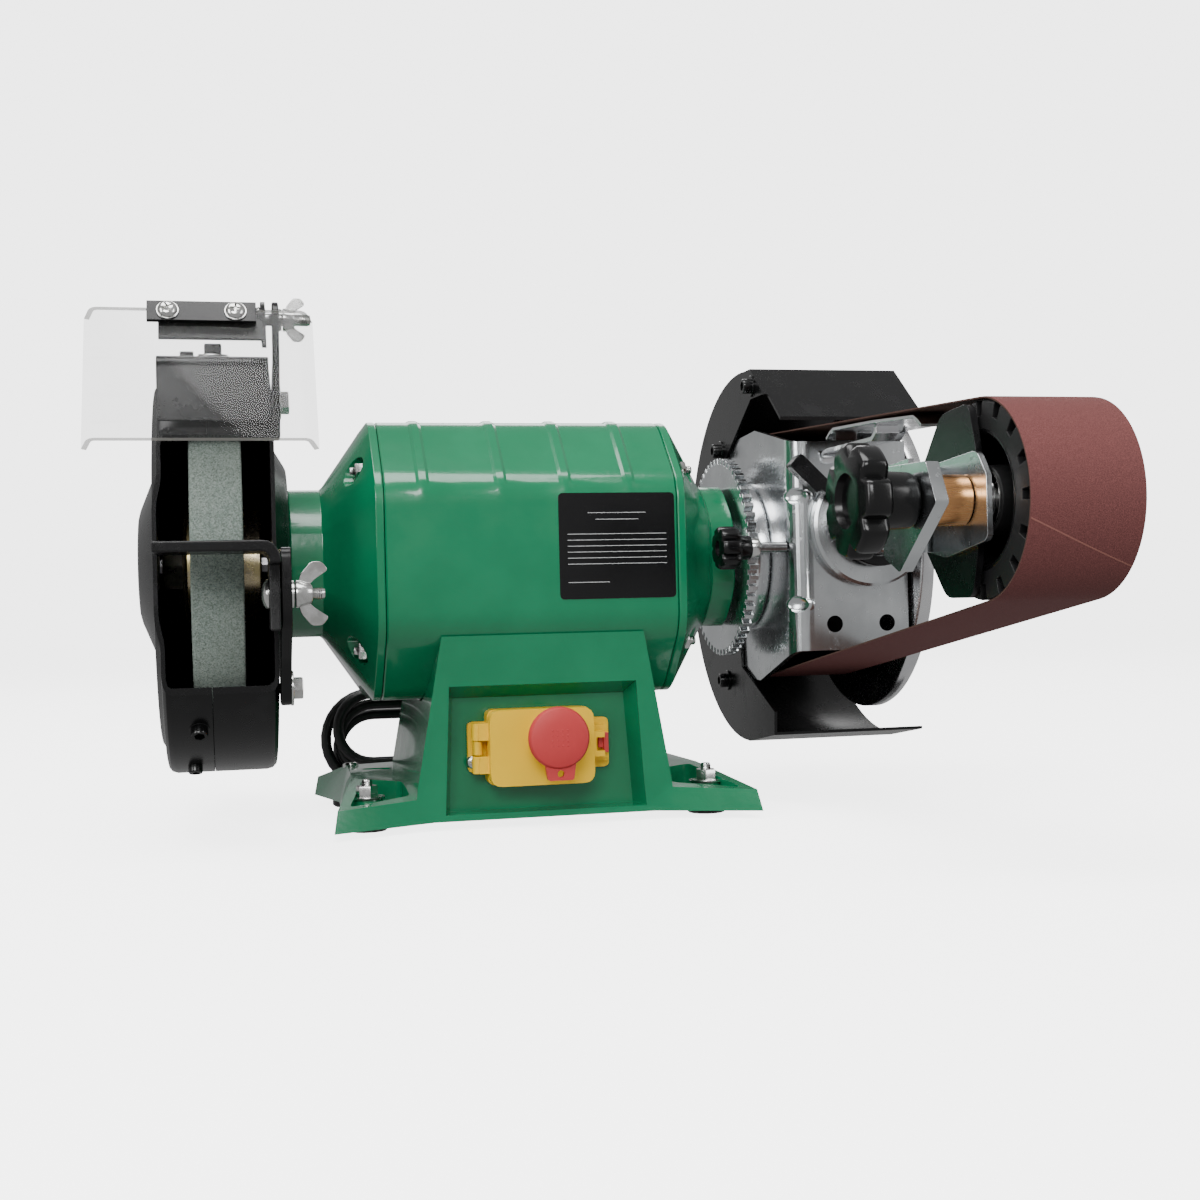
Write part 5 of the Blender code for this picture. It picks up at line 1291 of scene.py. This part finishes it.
piece("bush_sleeve", turn(bush, 64, "X", IDLER), BRONZE, "idler_carrier", ["axle_bush"])
pin = [(112, 0), (112, 5.8), (188, 5.8), (188.4, 8.6), (188.8, 9), (190.8, 9), (191.3, 8.6), (191.5, 8), (191.5, 0)]
axle = draft("idler_pin", turn(pin, 48, "X", IDLER), STEEL)
carve(axle, "DIFFERENCE", extrude(hexagon(7, IDLER), 189.3, 195))
complete(axle, "idler_carrier", ["idler_axle"])

# %% Idler wheel and tracking knob
RIM = IDLER_R - BELT_THICK - 0.3
tyre = [(142.6, 28.5), (142.6, 39.6), (142.9, RIM - 0.6), (143.5, RIM), (187.2, RIM), (187.8, RIM - 0.6), (188, 39.6),
        (188, 28.5), (186.5, 27.4), (170, 27.4)]
hub = [(170, 15), (184.4, 14.2), (185, 13.6), (185, 6.1), (144.5, 6.1), (144.5, 13.6), (145.1, 14.2), (160, 15),
       (160, 27.4), (144.1, 27.4)]
wheel = draft("idler_tyre", turn(tyre + hub, 128, "X", IDLER), RUBBER)
NOTCHES = 16
for edge_low, edge_high in ((140, 147.5), (183.5, 190)):
    teeth = []
    for notch in range(NOTCHES):
        angle = 2 * math.pi * notch / NOTCHES
        out = Vector((math.cos(angle), math.sin(angle)))
        side = Vector((-out.y, out.x))
        corners = [tuple(Vector(IDLER) + out * a + side * b)
                   for a, b in ((34.5, -1.9), (44, -3.1), (44, 3.1), (34.5, 1.9))]
        teeth.append(extrude(corners, edge_low, edge_high))
    carve(wheel, "DIFFERENCE", merged(*teeth))
complete(wheel, "idler", ["idler_wheel"], edge=0.3, angle=32)
bearing = [(144.2, 6.3), (144.2, 7.8), (143.9, 8), (143.9, 9.2), (144.2, 9.4), (144.2, 12.2), (143.9, 12.4),
           (143.9, 13.2), (144.6, 13.4), (146, 13.4), (146, 6.3)]
lip = [(142.8, 27.2), (142.45, 27.9), (142.45, 28.9), (142.8, 29.5), (144, 29.5), (144, 27.2)]
piece("idler_bearing", turn(bearing, 56, "X", IDLER), FASTENER, "idler")
piece("idler_hub_lip", turn(lip, 96, "X", IDLER), KNOB, "idler")
lobed_knob("tracking_knob_star", "tracking_knob", "knob", IDLER, 23.5, 19.2, 83, 94.5,
           [[(93, 0), (93, 12.2), (95.5, 12.2), (109.5, 11.6), (111, 11), (111.7, 10), (111.7, 0)]],
           [(82, 0), (82, 11.5), (83.4, 11.2), (86, 10.4), (86, 0)])

# %% [markdown]
# ## Mains flex
#
# The flex leaves the pedestal's back through a tapered grip, drops to the bench and is folded into a hank
# with a tie round it, the way a new machine is packed. A flex is a fixed length of something springy, so the
# route is counted: straight runs between turns no tighter than it allows, laid a diameter apart, until
# 1.8 m are used.

# %% Hank route
FLEX_D = 6.8
EXIT = Vector((40.0, 93.3, -96.0))
HANK_LEFT, HANK_RIGHT = -104.0, 79.0
HANK_RIGHT_CENTRE, HANK_LEFT_CENTRE, LIFT = HANK_RIGHT - 32.0, HANK_LEFT + 32.0, 0.6
TIGHT, WIDE, PLUG_X, PLUG_Z = 21.6, 28.6, -20.0, 18.2
BEND = 4 * FLEX_D
LENGTH = 1800.0


def ease(share):
    share = min(1.0, max(0.0, share))
    return share * share * (3 - 2 * share)


def flex_route(trim):
    """The flex's centreline. `trim` shortens the tight turns at both ends, which sets the length."""
    points = [Vector((EXIT.x, y, EXIT.z)) for y in (EXIT.y, 97, 101)]
    for step in range(13):
        turned = math.radians(step * 7.5)
        points.append(Vector((EXIT.x - BEND * (1 - math.cos(turned)), 105 + BEND * math.sin(turned),
                              EXIT.z - 8 * ease(step / 24))))
    start, goal = points[-1], Vector((-45, 142.5, BENCH + 25 + LIFT + TIGHT))
    for step in range(1, 11):
        share = step / 10
        sag = 4 * math.sin(math.pi * share) * (1 - share)
        points.append(Vector((start.x + (goal.x - start.x) * share, start.y + (goal.y - start.y) * ease(share),
                              start.z - sag + (goal.z - start.z) * ease(share))))
    laps = ((142.5, 142.5, 25, TIGHT, trim), (135.5, 135.5, 25, TIGHT, trim), (128.5, 128.5, 32, TIGHT, trim),
            (128.5, 121.5, 32, WIDE, 0))
    for number, (y_top, y_low, middle, radius, short) in enumerate(laps):
        left, right, middle = HANK_LEFT_CENTRE + short, HANK_RIGHT_CENTRE - short, BENCH + middle + LIFT
        if number:
            before = points[-1]
            for step in range(1, 13):
                x = before.x + (left - before.x) * step / 12
                share = ease((before.x - x) / (before.x - 0.0))
                points.append(Vector((x, before.y + (y_top - before.y) * share,
                                      before.z + (middle + radius - before.z) * share)))
        else:
            points += [Vector((x, y_top, middle + radius)) for x in (-54, -63, left)]
        points += [Vector((left + radius * math.cos(turned), y_top, middle + radius * math.sin(turned)))
                   for turned in (math.radians(90 + 12 * step) for step in range(1, 16))]
        points += [Vector((left + (right - left) * step / 12, y_top + (y_low - y_top) * ease(step / 12),
                           middle - radius)) for step in range(1, 13)]
        points += [Vector((right + radius * math.cos(turned), y_low, middle + radius * math.sin(turned)))
                   for turned in (math.radians(-90 + 12 * step) for step in range(1, 16))]
    top = points[-1]
    last = (top.z - BENCH - PLUG_Z) / 2
    points += [Vector((x, top.y, top.z)) for x in (20, -10, -40, HANK_LEFT_CENTRE)]
    points += [Vector((HANK_LEFT_CENTRE + last * math.cos(turned), top.y, top.z - last + last * math.sin(turned)))
               for turned in (math.radians(90 + 12 * step) for step in range(1, 16))]
    points += [Vector((x, top.y, BENCH + PLUG_Z)) for x in (-64, -56)]
    points += [Vector((PLUG_X - BEND * (1 - math.sin(turned)), top.y + BEND * (1 - math.cos(turned)), BENCH + PLUG_Z))
               for turned in (math.radians(7.5 * step) for step in range(0, 13))]
    return points


def length_of(points):
    return sum((after - before).length for before, after in zip(points, points[1:]))


low_trim, high_trim = -6.0, 12.0
for _ in range(40):
    trim = (low_trim + high_trim) / 2
    low_trim, high_trim = (trim, high_trim) if length_of(flex_route(trim)) > LENGTH else (low_trim, trim)
route = flex_route(trim)
print("flex", round(length_of(route), 1), "mm in", len(route), "points, tight turns trimmed by", round(trim, 2), "mm")

# %% Flex, grip, tie and plug
line = bpy.data.curves.new("mains_flex", "CURVE")
line.dimensions, line.bevel_depth, line.bevel_resolution, line.use_fill_caps = "3D", FLEX_D / 2 * MM, 3, True
spline = line.splines.new("POLY")
spline.points.add(len(route) - 1)
for point, place in zip(spline.points, route):
    point.co = (*(place * MM), 1.0)
line.materials.append(FLEX)
flex = bpy.data.objects.new("mains_flex", line)
flex.location = SPINDLE
bpy.context.scene.collection.objects.link(flex)
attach(flex, "machine")
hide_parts("cord_lead", "cord_hank")

ribs = []
for step in range(6):
    y = 69 + step * 3.8
    crest, valley = 7.2 - step * 0.34, 6.0 - step * 0.28
    ribs += [(y, crest), (y + 2.2, crest - 0.1), (y + 2.4, valley), (y + 3.6, valley - 0.1)]
body = [(51, 3.6), (51, 7.8), (62, 7.8), (62, 10), (65.4, 10), (66, 9.4), (67, 7.4)]
grip = piece("flex_grip", turn(body + ribs + [(92, 5.2), (93, 4.6), (93, 3.6)], 40, "Y", (EXIT.x, EXIT.z)), KNOB,
             "machine", ["cord_grip"], angle=30)
band = rounded([(117.4, 0.05), (146.6, 0.05), (146.6, 65.2), (117.4, 65.2)], 9, 6)
inner_band = rounded([(117.9, 0.5), (146.1, 0.5), (146.1, 64.7), (117.9, 64.7)], 8.6, 6)
tie_rows = [[(x, y, BENCH + z) for y, z in outline]
            for x, outline in ((-34, band), (-28, band), (-28, inner_band), (-34, inner_band))]
knot = block((-35.2, 128, BENCH + 64.4), (-26.8, 136, BENCH + 68.4))
tie = piece("flex_tie", merged(skin(tie_rows, True), knot), KNOB, "machine", angle=40)

centre = (PLUG_X, BENCH + PLUG_Z)
boot = [(146.3, 0), (146.3, 4.8)]
for step in range(4):
    boot += [(y + step * 4, radius + step * 0.35)
             for y, radius in ((147.5, 5.6), (149.6, 5.7), (149.9, 4.9), (151.2, 5.0))]
body = [(164, 7.4), (166.4, 14.6), (168, 16.8), (170.5, 18), (192, 18), (194, 17.4), (195, 16), (195, 0)]
plug = draft("mains_plug", turn(boot + body, 64, "Y", centre), KNOB)
for groove in arc(centre, 18.4, 15, 345, 11):
    carve(plug, "DIFFERENCE", bar("Y", 171, 189, 1.1, groove, 12))
plug = complete(plug, "machine", ["plug"], edge=0.5, angle=34)
pins = []
for x, z, lean_by in ((-6.8, 4.0, 30), (6.8, 4.0, -30), (0.0, -8.0, 90)):
    leaned = Matrix.Rotation(math.radians(lean_by), 4, "Y")
    pins.append(moved(block((-3.15, 194, -0.8), (3.15, 211.8, 0.8)),
                      Matrix.Translation((centre[0] + x, 0, centre[1] + z)) @ leaned))
plug_pins = piece("mains_plug_pins", merged(*pins), FASTENER, "machine", edge=0.3)

# %% [markdown]
# ## Floor and light
#
# The machine stands in a pale bowl with no horizon, so its dark parts keep their outline. The bowl glows and
# is left out of reflections, so that blacks stay deep, which a white room all round would turn grey. Five soft
# panels do the lighting: overhead for the long highlight on the enamel, in front, on each side for the guard
# and the bends of the zinc plate, and behind.

# %% Studio
sweep = turn([(0, 0), (0, 5000), (400, 6400), (1700, 7500), (4200, 7800), (7000, 6000), (8500, 0)], 96, "Z")
floor = bpy.data.objects.new("floor", mesh_of("floor", sweep))
bpy.context.scene.collection.objects.link(floor)
pale = Finish("pale_floor", Roughness=0.9, Specular_IOR_Level=0.1, Emission_Strength=3.6)
pale.feed(Base_Color=pale.blend(pale.noise(3.0), (0.86,) * 3, (0.88,) * 3),
          Emission_Color=pale.blend(pale.noise(3.0), (1.0,) * 3, (0.99,) * 3))
floor.data.materials.append(pale.material)
floor.visible_diffuse = floor.visible_glossy = floor.visible_shadow = False

world = bpy.data.worlds.new("studio")
world.use_nodes = True
background = world.node_tree.nodes["Background"].inputs
background["Color"].default_value, background["Strength"].default_value = (1.0, 1.0, 1.0, 1.0), 0.42
bpy.context.scene.world = world
PANELS = (("overhead", (-0.25, -0.25, 1.5), 1.3, 0.6, 20), ("front_panel", (-0.55, -1.75, 0.95), 1.0, 0.6, 22),
          ("left_panel", (-1.5, -0.8, 0.8), 0.5, 1.2, 14), ("right_panel", (1.4, -1.1, 0.8), 0.5, 1.1, 10),
          ("back_panel", (0.2, 1.6, 1.2), 1.4, 0.6, 10))
for name, place, wide, tall, power in PANELS:
    glow = bpy.data.lights.new(name, "AREA")
    glow.shape, glow.size, glow.size_y, glow.energy = "RECTANGLE", wide, tall, power
    lamp = bpy.data.objects.new(name, glow)
    lamp.location = place
    lamp.rotation_euler = (SPINDLE - Vector(place)).to_track_quat("-Z", "Y").to_euler()
    bpy.context.scene.collection.objects.link(lamp)
print("five soft panels")

# %% Update the scene
bpy.context.view_layer.update()
